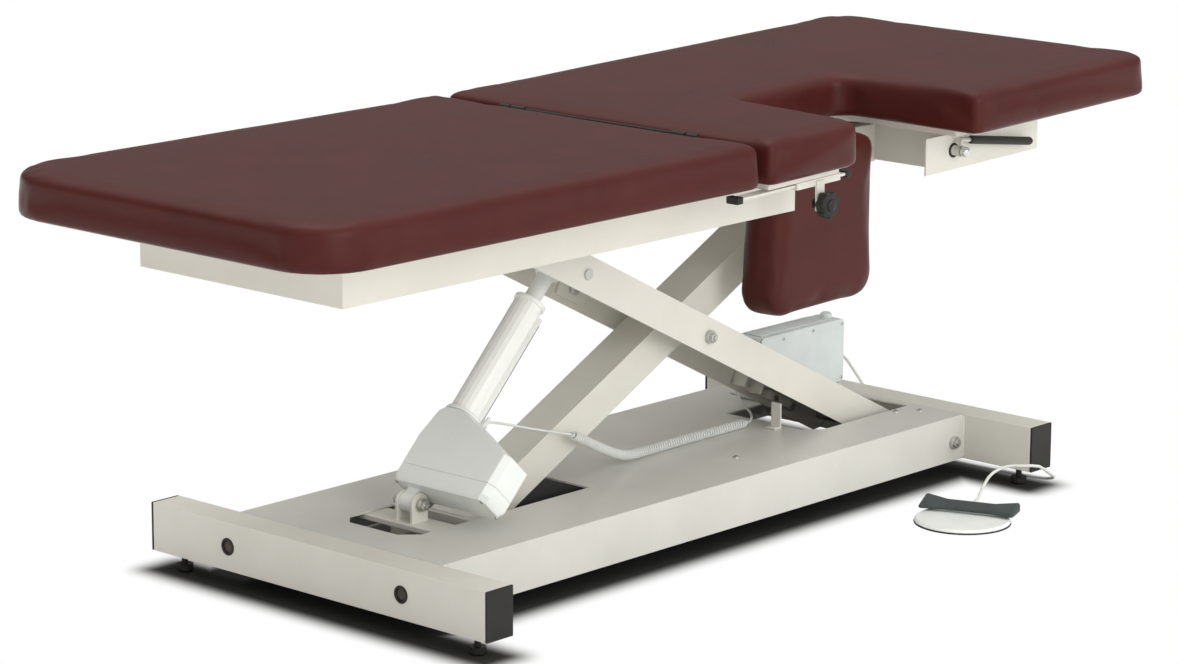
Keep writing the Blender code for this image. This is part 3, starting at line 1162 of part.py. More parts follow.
def build_support_bar():
    """The bar under the near side that slides out to hold the window panel level."""
    top = FRAME_TOP - BACK_HINGE_Z
    low = top - BAR_BOTTOM - SHEET
    half = BAR_WIDTH / 2
    y_low = BAR_Y - half - BAR_CLEARANCE
    y_high = BAR_Y + half + BAR_CLEARANCE
    start = GUIDE_START - SEAM_X
    end = start + GUIDE_LENGTH
    room = (y_low, y_high, low + SHEET, low + SHEET + BAR_HEIGHT - SHEET + BAR_CLEARANCE * 2)
    outline = rect(y_low - SHEET, y_high + SHEET, low, top)
    guide = add("bar_guide", prism(outline, "X", start, end, hole=grown(room, 0)), ENAMEL, back_body)
    knob_x = KNOB_X - SEAM_X
    knob_z = low - KNOB_DROP + LUG_DROP
    lug_near = y_low - SHEET * 2
    lug = block((knob_x - LUG_LENGTH / 2, lug_near, knob_z - LUG_DROP),
                (knob_x + LUG_LENGTH / 2, y_low - SHEET + WELD_OVERLAP / 2, top - SHEET))
    unite(guide, lug, "lug")
    shaft = KNOB_SHAFT_DIAMETER / 2
    cut(guide, rod("Y", (knob_x, knob_z), lug_near - OVERRUN, y_low, shaft + GAP), "knob_bore")
    bar_low = room[2] + BAR_CLEARANCE
    bar_high = room[-1] - BAR_CLEARANCE
    bar_start = BAR_START - SEAM_X
    bar_end = bar_start + BAR_LENGTH
    strip = block((bar_start, BAR_Y - half, bar_low), (bar_end, BAR_Y + half, bar_high))
    add("support_bar", strip, ENAMEL, back_body)
    radius = KNOB_DIAMETER / 2
    knob_far = lug_near - SHEET
    knob_near = knob_far - KNOB_LENGTH
    inner_end = y_low - SHEET + WELD_OVERLAP + SHEET
    profile = [(knob_near, 0), (knob_near, radius - SHEET), (knob_near + SHEET, radius),
               (knob_far - SHEET, radius), (knob_far, shaft * 2), (knob_far, shaft), (inner_end, shaft),
               (inner_end, shaft * 2),
               (inner_end + SHEET, shaft * 2), (inner_end + SHEET, 0)]
    add("lock_knob", turned(profile, "Y", (knob_x, knob_z)), BLACK, back_body)


def build_pedal():
    """A floor pedal with a rocker that tilts either way."""
    radius = PEDAL_RADIUS
    edge = SHEET
    profile = [(0, 0), (0, radius - edge), (edge, radius), (PEDAL_HEIGHT - edge, radius),
               (PEDAL_HEIGHT, radius - edge), (PEDAL_HEIGHT, 0)]
    base = add("pedal_base", turned(profile, "Z", (0, 0), ROUND_STEPS * 2), PLASTIC, pedal_body)
    back = ROCKER_BACK
    ridge = block((back - RIDGE_WIDTH, -RIDGE_HALF, edge), (back + RIDGE_WIDTH, RIDGE_HALF, RIDGE_TOP))
    unite(base, ridge, "ridge")
    low = RIDGE_TOP + GAP
    high = low + ROCKER_THICKNESS
    half = ROCKER_WIDTH / 2
    waist = ROCKER_WAIST / 2
    reach = ROCKER_LENGTH / 2
    corner = SHEET
    wide = risen(back - half, back + half, low, high, corner)
    narrow = risen(back - waist, back + waist, low, high, corner)
    small = risen(back - half + corner, back + half - corner, low + corner / 2, high - corner / 2,
                  corner / 2)
    loops = [(-reach, small), (-reach + corner, wide), (-reach / 2, narrow), (reach / 2, narrow),
             (reach - corner, wide), (reach, small)]
    add("pedal_rocker", skin(loops, "Y"), ROCKER, pedal_body)


def build_cords():
    """The curly control cord and the pedal's free cord with its slack in a coil."""
    route = smooth_route(CURL_ROUTE, CURL_COUNT * CURL_POINTS + 1)
    points = smooth_route(LEAD_ROUTE, SMALL_STEPS)
    curls = []
    fade = CURL_POINTS
    last = len(route) - 1
    for index, centre in enumerate(route):
        after = route[min(index + 1, last)]
        before = route[max(index - 1, 0)]
        ahead = (after - before).normalized()
        side = ahead.cross(Vector((0, 0, 1))).normalized()
        up = side.cross(ahead)
        turn = math.tau * index / CURL_POINTS
        size = CURL_RADIUS * min(1, index / fade, (last - index) / fade)
        curls.append(centre + (side * math.cos(turn) + up * math.sin(turn)) * size)
    points += curls
    points += [Vector(point) for point in TAIL_ROUTE]
    cord("curly_cord", points, CURL_DIAMETER, 1, table)
    span = CURL_POINTS // 2
    nearest = min((points[j] - points[i]).length for i in range(len(points))
                  for j in range(i + span + 1, min(i + CURL_POINTS * 2, len(points))))
    print("curly cord least gap to itself", nearest - CURL_DIAMETER)

    free = smooth_route(PEDAL_CORD_ROUTE, PEDAL_CORD_POINTS)
    cord("pedal_cord", free, PEDAL_CORD_DIAMETER, 2, table)
    steps = COIL_TURNS * COIL_POINTS
    straight = Vector((0, PEDAL_CORD_DIAMETER, 0))
    coil = []
    for step in range(steps + 1):
        turn = math.pi - math.tau * step / COIL_POINTS
        coil.append(Vector((COIL_CENTRE_X + COIL_RADIUS * math.cos(turn),
                            COIL_CENTRE_Y + COIL_RADIUS * math.sin(turn),
                            PEDAL_CORD_ROUTE[-1][2] + COIL_LIFT * step / COIL_POINTS)))
    coil = [coil[0] - straight] + coil + [coil[-1] + straight]
    cord("pedal_cord_coil", coil, PEDAL_CORD_DIAMETER, 1, table)
    rise = smooth_route(RISE_ROUTE, RISE_POINTS)
    cord("pedal_cord_rise", rise, PEDAL_CORD_DIAMETER, 2, table)
    total = route_length(free) + route_length(coil) + route_length(rise)
    print("pedal cord length", total)


build_base()
build_clevis()
build_arms()
build_actuator()
build_frame()
build_upholstery()
build_controls()
build_cords()
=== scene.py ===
"""The looks of a power lift imaging table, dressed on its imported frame.

Metres throughout. Places are given on the table's own plan, where x runs from the foot crossbar's
face to the head end, y is zero on the middle line and the drop window is on the -y side.
"""
import math

import bmesh
import bpy
from mathutils import Matrix, Vector, noise


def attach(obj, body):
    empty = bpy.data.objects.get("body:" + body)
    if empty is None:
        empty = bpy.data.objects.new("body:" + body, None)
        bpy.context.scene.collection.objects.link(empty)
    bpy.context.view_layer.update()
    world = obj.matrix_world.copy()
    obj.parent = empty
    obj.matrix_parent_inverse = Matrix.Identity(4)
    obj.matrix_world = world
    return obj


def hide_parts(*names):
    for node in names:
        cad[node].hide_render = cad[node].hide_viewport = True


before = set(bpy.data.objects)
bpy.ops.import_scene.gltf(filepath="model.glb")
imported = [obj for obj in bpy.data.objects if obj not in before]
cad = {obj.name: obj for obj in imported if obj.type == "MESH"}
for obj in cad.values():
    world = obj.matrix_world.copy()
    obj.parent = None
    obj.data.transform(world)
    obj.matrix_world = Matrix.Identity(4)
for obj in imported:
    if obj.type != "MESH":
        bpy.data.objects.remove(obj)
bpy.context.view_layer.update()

# The plan's origin in the row frame, and the places that several pieces share
PLAN = Vector((-0.6598, 0.056, 0.0))
DECK_TOP = 0.1055
ARM_ANGLE = math.radians(26.8)
HALF_ARM = 0.5218
LOW_PIN = Vector((1.262, 0.0, 0.062))
CENTRE_PIN = LOW_PIN + Vector((-HALF_ARM * math.cos(ARM_ANGLE), 0.0, HALF_ARM * math.sin(ARM_ANGLE)))
TOP_PIN = LOW_PIN + Vector((0.0, 0.0, 2 * HALF_ARM * math.sin(ARM_ANGLE)))
FRAME_LOW = TOP_PIN.z - 0.0209
FRAME_TOP = FRAME_LOW + 0.070
PAD_LOW = FRAME_TOP + 0.0123
PAD_THICK = 0.0713
SEAM = Vector((0.6146, 0.0, PAD_LOW + PAD_THICK - 0.010))
TILT = math.radians(1.4)
WINDOW_HINGE = Vector((0.0, -0.066, 0.585 - SEAM.z))
CLEVIS = Vector((0.205, 0.0, 0.130))
ROD_PIN = LOW_PIN + Vector((-0.8424 * math.cos(ARM_ANGLE), 0.0, 0.8424 * math.sin(ARM_ANGLE)))
ACTUATOR_ANGLE = math.atan2(ROD_PIN.z - CLEVIS.z, ROD_PIN.x - CLEVIS.x)
PEDAL = Vector((1.058, -0.387, 0.0))

ON_TABLE = Matrix.Translation(PLAN)
ON_BACK = ON_TABLE @ Matrix.Translation(SEAM) @ Matrix.Rotation(-TILT, 4, "Y")
ON_WINDOW = ON_BACK @ Matrix.Translation(WINDOW_HINGE) @ Matrix.Rotation(math.pi / 2, 4, "X")
ON_MOTOR = ON_TABLE @ Matrix.Translation(CLEVIS) @ Matrix.Rotation(-ACTUATOR_ANGLE, 4, "Y")


# ---------------------------------------------------------------- camera and light
CAMERA_YAW, CAMERA_PITCH, CAMERA_ROLL = 0.737, -0.2237, 0.0048
CAMERA_EYE = Vector((-4.5271, -3.9967, 1.6976))
FOCAL_PIXELS, PICTURE_PIXELS, SENSOR_WIDTH = 3979.08, 1178, 36.0

# The surroundings: dim up to one height, bright from another on, and brighter towards the near side
SKY_LOW, SKY_HIGH = 0.30, 0.80
SKY_DIM, SKY_BRIGHT = 0.22, 0.95
NEAR_GLOW = 0.88
# Each lamp's name, the way it comes from, its power and its spread in degrees
LAMPS = (("near_key", (-0.14, -0.95, 0.30), 0.78, 30), ("overhead", (0.10, 0.25, 1.0), 0.80, 50),
         ("foot_fill", (-1.0, 0.1, 0.35), 0.08, 45))
LAMP_COLOUR = (1.0, 0.985, 0.96)

# What the floor's painted shadow surrounds, as middle and half size: the deck, taken wider on its far
# side so that the painted shadow makes its openings look dark, and the two crossbars
SHADE_BOXES = (((0.010, 0.091), (0.630, 0.240)), ((-0.635, 0.056), (0.022, 0.345)),
               ((0.655, 0.056), (0.022, 0.345)))
# Where the floor's white fades in, and the reach and the dark and pale ends of the shadow painted into the
# floor's colour
SHADE_START, SHADE_END = 0.004, 0.060
SHADE_REACH, SHADE_DARK, SHADE_PALE = 0.085, 0.05, 0.88


def set_camera():
    """The photograph's own view: a long lens from the foot end's near side."""
    yaw, pitch, roll = CAMERA_YAW, CAMERA_PITCH, CAMERA_ROLL
    ahead = Vector((math.cos(pitch) * math.cos(yaw), math.cos(pitch) * math.sin(yaw), math.sin(pitch)))
    right = ahead.cross(Vector((0, 0, 1))).normalized()
    up = right.cross(ahead)
    level, upright = right, up
    right = level * math.cos(roll) + upright * math.sin(roll)
    up = upright * math.cos(roll) - level * math.sin(roll)
    lens = bpy.data.cameras.new("photo_camera")
    lens.sensor_width = SENSOR_WIDTH
    lens.lens = FOCAL_PIXELS / PICTURE_PIXELS * SENSOR_WIDTH
    lens.clip_start, lens.clip_end = 0.1, 60.0
    camera = bpy.data.objects.new("photo_camera", lens)
    bpy.context.scene.collection.objects.link(camera)
    turn = Matrix((right, up, -ahead)).transposed()
    camera.matrix_world = Matrix.Translation(CAMERA_EYE) @ turn.to_4x4()
    bpy.context.scene.camera = camera


def seen_white(tree):
    """One for the rays that see the backdrop directly or through a clear piece, else zero."""
    path = tree.nodes.new("ShaderNodeLightPath")
    either = tree.nodes.new("ShaderNodeMath")
    either.operation = "MAXIMUM"
    tree.links.new(path.outputs["Is Camera Ray"], either.inputs[0])
    tree.links.new(path.outputs["Is Transmission Ray"], either.inputs[1])
    return either.outputs[0]


def set_light():
    """A white studio: surroundings brighter overhead and on the near side, and three broad lamps."""
    world = bpy.data.worlds.new("studio")
    bpy.context.scene.world = world
    world.use_nodes = True
    tree = world.node_tree
    tree.nodes.clear()
    out = tree.nodes.new("ShaderNodeOutputWorld")
    lit = tree.nodes.new("ShaderNodeBackground")
    lit.inputs["Color"].default_value = (1.0, 0.988, 0.968, 1.0)
    way = tree.nodes.new("ShaderNodeTexCoord")
    split = tree.nodes.new("ShaderNodeSeparateXYZ")
    rise = tree.nodes.new("ShaderNodeMapRange")
    rise.inputs["From Min"].default_value = SKY_LOW
    rise.inputs["From Max"].default_value = SKY_HIGH
    rise.inputs["To Min"].default_value = SKY_DIM
    rise.inputs["To Max"].default_value = SKY_BRIGHT
    tree.links.new(way.outputs["Generated"], split.inputs[0])
    tree.links.new(split.outputs["Z"], rise.inputs["Value"])
    near = tree.nodes.new("ShaderNodeMapRange")
    near.inputs["From Min"].default_value = 0.0
    near.inputs["From Max"].default_value = -1.0
    near.inputs["To Min"].default_value = 0.0
    near.inputs["To Max"].default_value = NEAR_GLOW
    tree.links.new(split.outputs["Y"], near.inputs["Value"])
    both = tree.nodes.new("ShaderNodeMath")
    both.operation = "ADD"
    tree.links.new(rise.outputs[0], both.inputs[0])
    tree.links.new(near.outputs[0], both.inputs[1])
    tree.links.new(both.outputs[0], lit.inputs["Strength"])
    white = tree.nodes.new("ShaderNodeBackground")
    white.inputs["Color"].default_value = (1.0, 1.0, 1.0, 1.0)
    white.inputs["Strength"].default_value = 1.0
    mix = tree.nodes.new("ShaderNodeMixShader")
    tree.links.new(seen_white(tree), mix.inputs[0])
    tree.links.new(lit.outputs[0], mix.inputs[1])
    tree.links.new(white.outputs[0], mix.inputs[2])
    tree.links.new(mix.outputs[0], out.inputs[0])
    for name, toward, power, spread in LAMPS:
        lamp = bpy.data.lights.new(name, "SUN")
        lamp.energy = power
        lamp.angle = math.radians(spread)
        lamp.color = LAMP_COLOUR
        holder = bpy.data.objects.new(name, lamp)
        bpy.context.scene.collection.objects.link(holder)
        holder.rotation_euler = Vector(toward).to_track_quat("Z", "Y").to_euler()


def distance_from_box(tree, place, centre, half):
    """How far a point of the floor is outside an upright box, zero under it."""
    moved = tree.nodes.new("ShaderNodeVectorMath")
    moved.operation = "SUBTRACT"
    moved.inputs[1].default_value = (*centre, 0.0)
    folded = tree.nodes.new("ShaderNodeVectorMath")
    folded.operation = "ABSOLUTE"
    past = tree.nodes.new("ShaderNodeVectorMath")
    past.operation = "SUBTRACT"
    past.inputs[1].default_value = (*half, 0.0)
    outside = tree.nodes.new("ShaderNodeVectorMath")
    outside.operation = "MAXIMUM"
    outside.inputs[1].default_value = (0.0, 0.0, 0.0)
    length = tree.nodes.new("ShaderNodeVectorMath")
    length.operation = "LENGTH"
    tree.links.new(place.outputs["Object"], moved.inputs[0])
    tree.links.new(moved.outputs[0], folded.inputs[0])
    tree.links.new(folded.outputs[0], past.inputs[0])
    tree.links.new(past.outputs[0], outside.inputs[0])
    tree.links.new(outside.outputs[0], length.inputs[0])
    return length.outputs["Value"]


def set_floor():
    """A pale floor with a shadow painted dark round the base; it keeps the object's own shadow there and
    fades to white round it.
    """
    bm = bmesh.new()
    bmesh.ops.create_grid(bm, x_segments=1, y_segments=1, size=30.0)
    mesh = bpy.data.meshes.new("studio_floor")
    bm.to_mesh(mesh)
    bm.free()
    floor = bpy.data.objects.new("studio_floor", mesh)
    bpy.context.scene.collection.objects.link(floor)
    floor.location.z = -0.0005
    pale = bpy.data.materials.new("pale_floor")
    pale.use_nodes = True
    tree = pale.node_tree
    tree.nodes.clear()
    out = tree.nodes.new("ShaderNodeOutputMaterial")
    matt = tree.nodes.new("ShaderNodeBsdfDiffuse")
    white = tree.nodes.new("ShaderNodeEmission")
    white.inputs["Color"].default_value = (1.0, 1.0, 1.0, 1.0)
    white.inputs["Strength"].default_value = 1.0
    mix = tree.nodes.new("ShaderNodeMixShader")
    place = tree.nodes.new("ShaderNodeTexCoord")
    near = None
    for centre, half in SHADE_BOXES:
        gap = distance_from_box(tree, place, centre, half)
        if near is not None:
            least = tree.nodes.new("ShaderNodeMath")
            least.operation = "MINIMUM"
            tree.links.new(near, least.inputs[0])
            tree.links.new(gap, least.inputs[1])
            gap = least.outputs[0]
        near = gap
    fade = tree.nodes.new("ShaderNodeMapRange")
    fade.interpolation_type = "SMOOTHSTEP"
    fade.inputs["From Min"].default_value = SHADE_START
    fade.inputs["From Max"].default_value = SHADE_END
    tree.links.new(near, fade.inputs["Value"])
    # Painted shadow: the floor's colour runs from dark under the base to pale a little way out
    tone = tree.nodes.new("ShaderNodeMapRange")
    tone.inputs["From Max"].default_value = SHADE_REACH
    tone.inputs["To Min"].default_value = SHADE_DARK
    tone.inputs["To Max"].default_value = SHADE_PALE
    tree.links.new(near, tone.inputs["Value"])
    tree.links.new(tone.outputs[0], matt.inputs["Color"])
    both = tree.nodes.new("ShaderNodeMath")
    both.operation = "MULTIPLY"
    tree.links.new(fade.outputs[0], both.inputs[0])
    tree.links.new(seen_white(tree), both.inputs[1])
    tree.links.new(both.outputs[0], mix.inputs[0])
    tree.links.new(matt.outputs[0], mix.inputs[1])
    tree.links.new(white.outputs[0], mix.inputs[2])
    tree.links.new(mix.outputs[0], out.inputs[0])
    mesh.materials.append(pale)


# ---------------------------------------------------------------- finishes
def finish(name, low, high, rough, spread=0.05, metal=0.0, patch=14.0, gloss=0.5, coat=0.0):
    """A finish whose colour and roughness drift gently over the surface. Returns it with its node tree."""
    made = bpy.data.materials.new(name)
    made.use_nodes = True
    tree = made.node_tree
    shader = tree.nodes["Principled BSDF"]
    shader.inputs["Metallic"].default_value = metal
    shader.inputs["Specular IOR Level"].default_value = gloss
    shader.inputs["Coat Weight"].default_value = coat
    shader.inputs["Coat Roughness"].default_value = 0.12
    place = tree.nodes.new("ShaderNodeTexCoord")
    drift = tree.nodes.new("ShaderNodeTexNoise")
    drift.inputs["Scale"].default_value = patch
    drift.inputs["Detail"].default_value = 5.0
    drift.inputs["Roughness"].default_value = 0.62
    tone = tree.nodes.new("ShaderNodeValToRGB")
    tone.color_ramp.elements[0].position = 0.32
    tone.color_ramp.elements[1].position = 0.68
    tone.color_ramp.elements[0].color = (*low, 1.0)
    tone.color_ramp.elements[1].color = (*high, 1.0)
    sheen = tree.nodes.new("ShaderNodeMapRange")
    sheen.inputs["To Min"].default_value = rough - spread
    sheen.inputs["To Max"].default_value = rough + spread
    tree.links.new(place.outputs["Object"], drift.inputs["Vector"])
    tree.links.new(drift.outputs["Fac"], tone.inputs["Fac"])
    tree.links.new(drift.outputs["Fac"], sheen.inputs["Value"])
    tree.links.new(tone.outputs["Color"], shader.inputs["Base Color"])
    tree.links.new(sheen.outputs[0], shader.inputs["Roughness"])
    return made, tree, shader, place


def relief(tree, shader, height, depth, strength, under=None):
    """Adds a bump to the finish, above one that is there already."""
    bump = tree.nodes.new("ShaderNodeBump")
    bump.inputs["Distance"].default_value = depth
    bump.inputs["Strength"].default_value = strength
    tree.links.new(height, bump.inputs["Height"])
    if under is not None:
        tree.links.new(under, bump.inputs["Normal"])
    tree.links.new(bump.outputs[0], shader.inputs["Normal"])
    return bump.outputs[0]


def noise_height(tree, place, scale, detail=3.0):
    made = tree.nodes.new("ShaderNodeTexNoise")
    made.inputs["Scale"].default_value = scale
    made.inputs["Detail"].default_value = detail
    tree.links.new(place.outputs["Object"], made.inputs["Vector"])
    return made.outputs["Fac"]


def enamel(name, low, high, rough=0.36):
    """Powder coating: a fine orange peel under a satin gloss."""
    made, tree, shader, place = finish(name, low, high, rough, 0.05, patch=6.0, gloss=0.5)
    soft = relief(tree, shader, noise_height(tree, place, 90.0, 2.0), 0.0004, 0.16)
    relief(tree, shader, noise_height(tree, place, 620.0, 3.0), 0.0001, 0.30, soft)
    return made


def vinyl():
    """Maroon upholstery vinyl: pebbled grain in fine creases, with a waxy sheen."""
    made, tree, shader, place = finish("maroon_vinyl", (0.062, 0.0125, 0.0105), (0.078, 0.0160, 0.0135),
                                       0.29, 0.05,
                                       patch=9.0, gloss=0.5)
    shader.inputs["IOR"].default_value = 1.24
    pebble = tree.nodes.new("ShaderNodeTexVoronoi")
    pebble.feature = "DISTANCE_TO_EDGE"
    pebble.inputs["Scale"].default_value = 760.0
    bend = tree.nodes.new("ShaderNodeTexNoise")
    bend.inputs["Scale"].default_value = 300.0
    bend.inputs["Detail"].default_value = 2.0
    shifted = tree.nodes.new("ShaderNodeVectorMath")
    shifted.operation = "MULTIPLY_ADD"
    shifted.inputs[1].default_value = (0.0018, 0.0018, 0.0018)
    tree.links.new(place.outputs["Object"], bend.inputs["Vector"])
    tree.links.new(bend.outputs["Color"], shifted.inputs[0])
    tree.links.new(place.outputs["Object"], shifted.inputs[2])
    tree.links.new(shifted.outputs[0], pebble.inputs["Vector"])
    crease = tree.nodes.new("ShaderNodeMapRange")
    crease.inputs["From Max"].default_value = 0.22
    tree.links.new(pebble.outputs["Distance"], crease.inputs["Value"])
    soft = relief(tree, shader, noise_height(tree, place, 28.0, 3.0), 0.0030, 0.10)
    relief(tree, shader, crease.outputs[0], 0.00012, 0.45, soft)
    return made


def moulded(name, low, high, rough, texture=0.25, gloss=0.5):
    """Moulded plastic with a fine spark-eroded texture."""
    made, tree, shader, place = finish(name, low, high, rough, 0.05, patch=18.0, gloss=gloss)
    relief(tree, shader, noise_height(tree, place, 1300.0, 2.0), 0.00008, texture)
    return made


def plated(name, low, high, rough, along=(1.0, 1.0, 14.0)):
    """Plated steel with fine drawn lines and a patchy bloom."""
    made, tree, shader, place = finish(name, low, high, rough, 0.10, metal=1.0, patch=60.0)
    stretch = tree.nodes.new("ShaderNodeMapping")
    stretch.inputs["Scale"].default_value = along
    lines = tree.nodes.new("ShaderNodeTexNoise")
    lines.inputs["Scale"].default_value = 260.0
    lines.inputs["Detail"].default_value = 4.0
    tree.links.new(place.outputs["Object"], stretch.inputs["Vector"])
    tree.links.new(stretch.outputs[0], lines.inputs["Vector"])
    relief(tree, shader, lines.outputs["Fac"], 0.00006, 0.35)
    return made


def ribbed_rubber():
    """Slate rubber with a fine moulded texture."""
    made, tree, shader, place = finish("slate_rubber", (0.036, 0.047, 0.047), (0.052, 0.066, 0.066), 0.60,
                                       0.06,
                                       patch=30.0)
    relief(tree, shader, noise_height(tree, place, 900.0, 3.0), 0.00015, 0.4)
    return made


CREAM = enamel("cream_enamel", (0.68, 0.662, 0.60), (0.74, 0.722, 0.66))
DECK_CREAM = enamel("deck_enamel", (0.60, 0.60, 0.555), (0.66, 0.66, 0.615), 0.33)
BOARD_PAINT = enamel("board_paint", (0.66, 0.63, 0.58), (0.72, 0.69, 0.64), 0.55)
VINYL = vinyl()
WHITE = moulded("white_housing", (0.82, 0.85, 0.83), (0.86, 0.885, 0.865), 0.38)
TUBE_WHITE = moulded("tube_white", (0.86, 0.875, 0.85), (0.90, 0.91, 0.89), 0.30)
GREY_WHITE = moulded("box_housing", (0.60, 0.66, 0.66), (0.68, 0.735, 0.73), 0.36)
BLACK = moulded("black_moulding", (0.012, 0.012, 0.011), (0.022, 0.021, 0.019), 0.50, gloss=0.35)
ZINC = plated("zinc_plate", (0.50, 0.50, 0.48), (0.62, 0.61, 0.58), 0.34)
CHROME = plated("bright_chrome", (0.70, 0.70, 0.71), (0.80, 0.80, 0.81), 0.12)
SLATE = ribbed_rubber()
CORD_SKIN = moulded("white_cord_skin", (0.68, 0.70, 0.68), (0.76, 0.78, 0.76), 0.45, 0.15)
# Dark olive-brown painted as the shaded inside of the crossbar's open holes
HOLE_SHADE_BROWN = moulded("painted_hole_shade", (0.050, 0.038, 0.026), (0.070, 0.052, 0.036), 0.6)
# Near-black for painted shade: the screw recesses and the line round the pedal's rim
PAINTED_SHADE_BLACK = moulded("painted_shade_black", (0.006, 0.006, 0.006), (0.010, 0.010, 0.010), 0.7)

NODE_FINISH = {
    "foot_cushion": VINYL, "head_cushion": VINYL, "window_cushion": VINYL,
    "deck": DECK_CREAM,
    "foot_board": BOARD_PAINT, "back_board": BOARD_PAINT, "window_board": BOARD_PAINT,
    "motor_housing": WHITE, "motor_cover": WHITE, "actuator_tube": TUBE_WHITE, "actuator_rod": WHITE,
    "control_box": GREY_WHITE, "control_box_cover": GREY_WHITE, "pedal_base": WHITE,
    "pedal_rocker": SLATE, "strut_rod": CHROME,
    "curly_cord": CORD_SKIN, "pedal_cord": CORD_SKIN, "pedal_cord_coil": CORD_SKIN,
    "pedal_cord_rise": CORD_SKIN,
}
for word in ("foot_cap_near", "foot_cap_far", "head_cap_near", "head_cap_far", "foot_levelling_foot_near",
             "foot_levelling_foot_far", "head_levelling_foot_near", "head_levelling_foot_far",
             "control_box_plugs",
             "upper_roller_near", "upper_roller_far", "lower_roller_near", "lower_roller_far",
             "strut_cylinder",
             "release_grip", "lock_knob", "seam_hinge_pin", "seam_hinge_leaf"):
    NODE_FINISH[word] = BLACK
for word in ("lower_pivot_shaft", "clevis_pin", "centre_pivot", "rod_end_pin", "upper_axle", "lower_axle",
             "top_pivot",
             "window_hinge", "back_lever_plate", "release_lever"):
    NODE_FINISH[word] = ZINC

# Edge radius of each folded, moulded or sawn node; the others keep their edges
EDGE = {
    "foot_crossbar": 0.0030, "head_crossbar": 0.0030, "deck": 0.0016, "outer_arm": 0.0030,
    "inner_arm": 0.0035,
    "top_frame": 0.0018, "head_box": 0.0018, "base_track": 0.0008, "frame_track": 0.0008,
    "actuator_clevis": 0.0012,
    "cord_post": 0.0008, "control_box": 0.0030, "control_box_cover": 0.0015, "motor_housing": 0.0035,
    "motor_cover": 0.0035, "foot_cap_near": 0.0012, "foot_cap_far": 0.0012, "head_cap_near": 0.0012,
    "head_cap_far": 0.0012, "pedal_rocker": 0.0022, "pedal_base": 0.0012, "support_bar": 0.0010,
    "bar_guide": 0.0008,
    "back_lever_plate": 0.0008, "actuator_rod": 0.0010, "foot_board": 0.0012, "back_board": 0.0012,
    "window_board": 0.0012, "release_grip": 0.0010,
}


def dress_cad_nodes():
    """Every carried-over node gets its finish, and the sharp ones a small edge radius."""
    for name, node in cad.items():
        node.data.materials.clear()
        node.data.materials.append(NODE_FINISH.get(name, CREAM))
        for face in node.data.polygons:
            face.material_index = 0
            face.use_smooth = True
        node.data.set_sharp_from_angle(angle=math.radians(32))
        if name in EDGE:
            weld = node.modifiers.new("weld", "WELD")
            weld.merge_threshold = 0.00002
            flat = node.modifiers.new("flatten", "DECIMATE")
            flat.decimate_type = "DISSOLVE"
            flat.angle_limit = math.radians(0.6)
            edge = node.modifiers.new("edge", "BEVEL")
            edge.width = EDGE[name]
            edge.segments = 3
            edge.limit_method = "ANGLE"
            edge.angle_limit = math.radians(32)
            edge.harden_normals = False
            shade = node.modifiers.new("shade", "WEIGHTED_NORMAL")
            shade.keep_sharp = False
            shade.weight = 90


# ---------------------------------------------------------------- making pieces
def settled(name, bm, coat, body, place=ON_TABLE, sharp=35.0):
    """Turns a bmesh into a named piece on its body, with its place in its mesh."""
    bmesh.ops.transform(bm, matrix=place, verts=bm.verts)
    mesh = bpy.data.meshes.new(name)
    bm.to_mesh(mesh)
    bm.free()
    mesh.materials.append(coat)
    mesh.shade_smooth()
    mesh.set_sharp_from_angle(angle=math.radians(sharp))
    made = bpy.data.objects.new(name, mesh)
    bpy.context.scene.collection.objects.link(made)
    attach(made, body)
    return made


def round_edges(bm, width, segments=3, angle=30.0, edges=None):
    """Rounds the edges that turn by more than an angle."""
    limit = math.radians(angle)
    chosen = edges if edges is not None else [e for e in bm.edges if len(e.link_faces) == 2
                                              and e.calc_face_angle(0.0) > limit]
    bmesh.ops.bevel(bm, geom=chosen, offset=width, offset_type="OFFSET", segments=segments, profile=0.5,
                    affect="EDGES", clamp_overlap=True, material=-1)


def slab(low, high, into=None):
    """A plain block between two corners, as a start for shaping."""
    bm = into or bmesh.new()
    low, high = Vector(low), Vector(high)
    size = high - low
    made = bmesh.ops.create_cube(bm, size=1.0)
    bmesh.ops.scale(bm, vec=size, verts=made["verts"])
    bmesh.ops.translate(bm, vec=(low + high) / 2, verts=made["verts"])
    return bm


def spun(profile, steps=32, into=None):
    """A solid of revolution round z from (radius, height) points."""
    bm = into or bmesh.new()
    verts = [bm.verts.new((radius, 0.0, height)) for radius, height in profile]
    edges = [bm.edges.new(pair) for pair in zip(verts, verts[1:])]
    made = bmesh.ops.spin(bm, geom=verts + edges, cent=(0, 0, 0), axis=(0, 0, 1), angle=math.tau,
                          steps=steps,
                          use_merge=True)
    bmesh.ops.remove_doubles(bm, verts=bm.verts, dist=0.00001)
    bmesh.ops.recalc_face_normals(bm, faces=bm.faces)
    return bm


def towards(direction, place=(0, 0, 0)):
    """Stands a piece made along z on a point, along a direction."""
    turn = Vector(direction).to_track_quat("Z", "X").to_matrix().to_4x4()
    return Matrix.Translation(Vector(place)) @ turn


def hex_head(across, height, bm=None):
    """A six-sided bolt head with its top corners chamfered."""
    bm = bm or bmesh.new()
    ring = bmesh.ops.create_circle(bm, cap_ends=True, radius=across / math.sqrt(3.0), segments=6)
    bottom = list({face for vert in ring["verts"] for face in vert.link_faces})
    lifted = bmesh.ops.extrude_face_region(bm, geom=bottom)
    top = [item for item in lifted["geom"] if isinstance(item, bmesh.types.BMVert)]
    bmesh.ops.translate(bm, vec=(0, 0, height), verts=top)
    bmesh.ops.recalc_face_normals(bm, faces=bm.faces)
    rim = [e for e in bm.edges if all(v in top for v in e.verts)]
    round_edges(bm, height * 0.16, 2, edges=rim)
    return bm


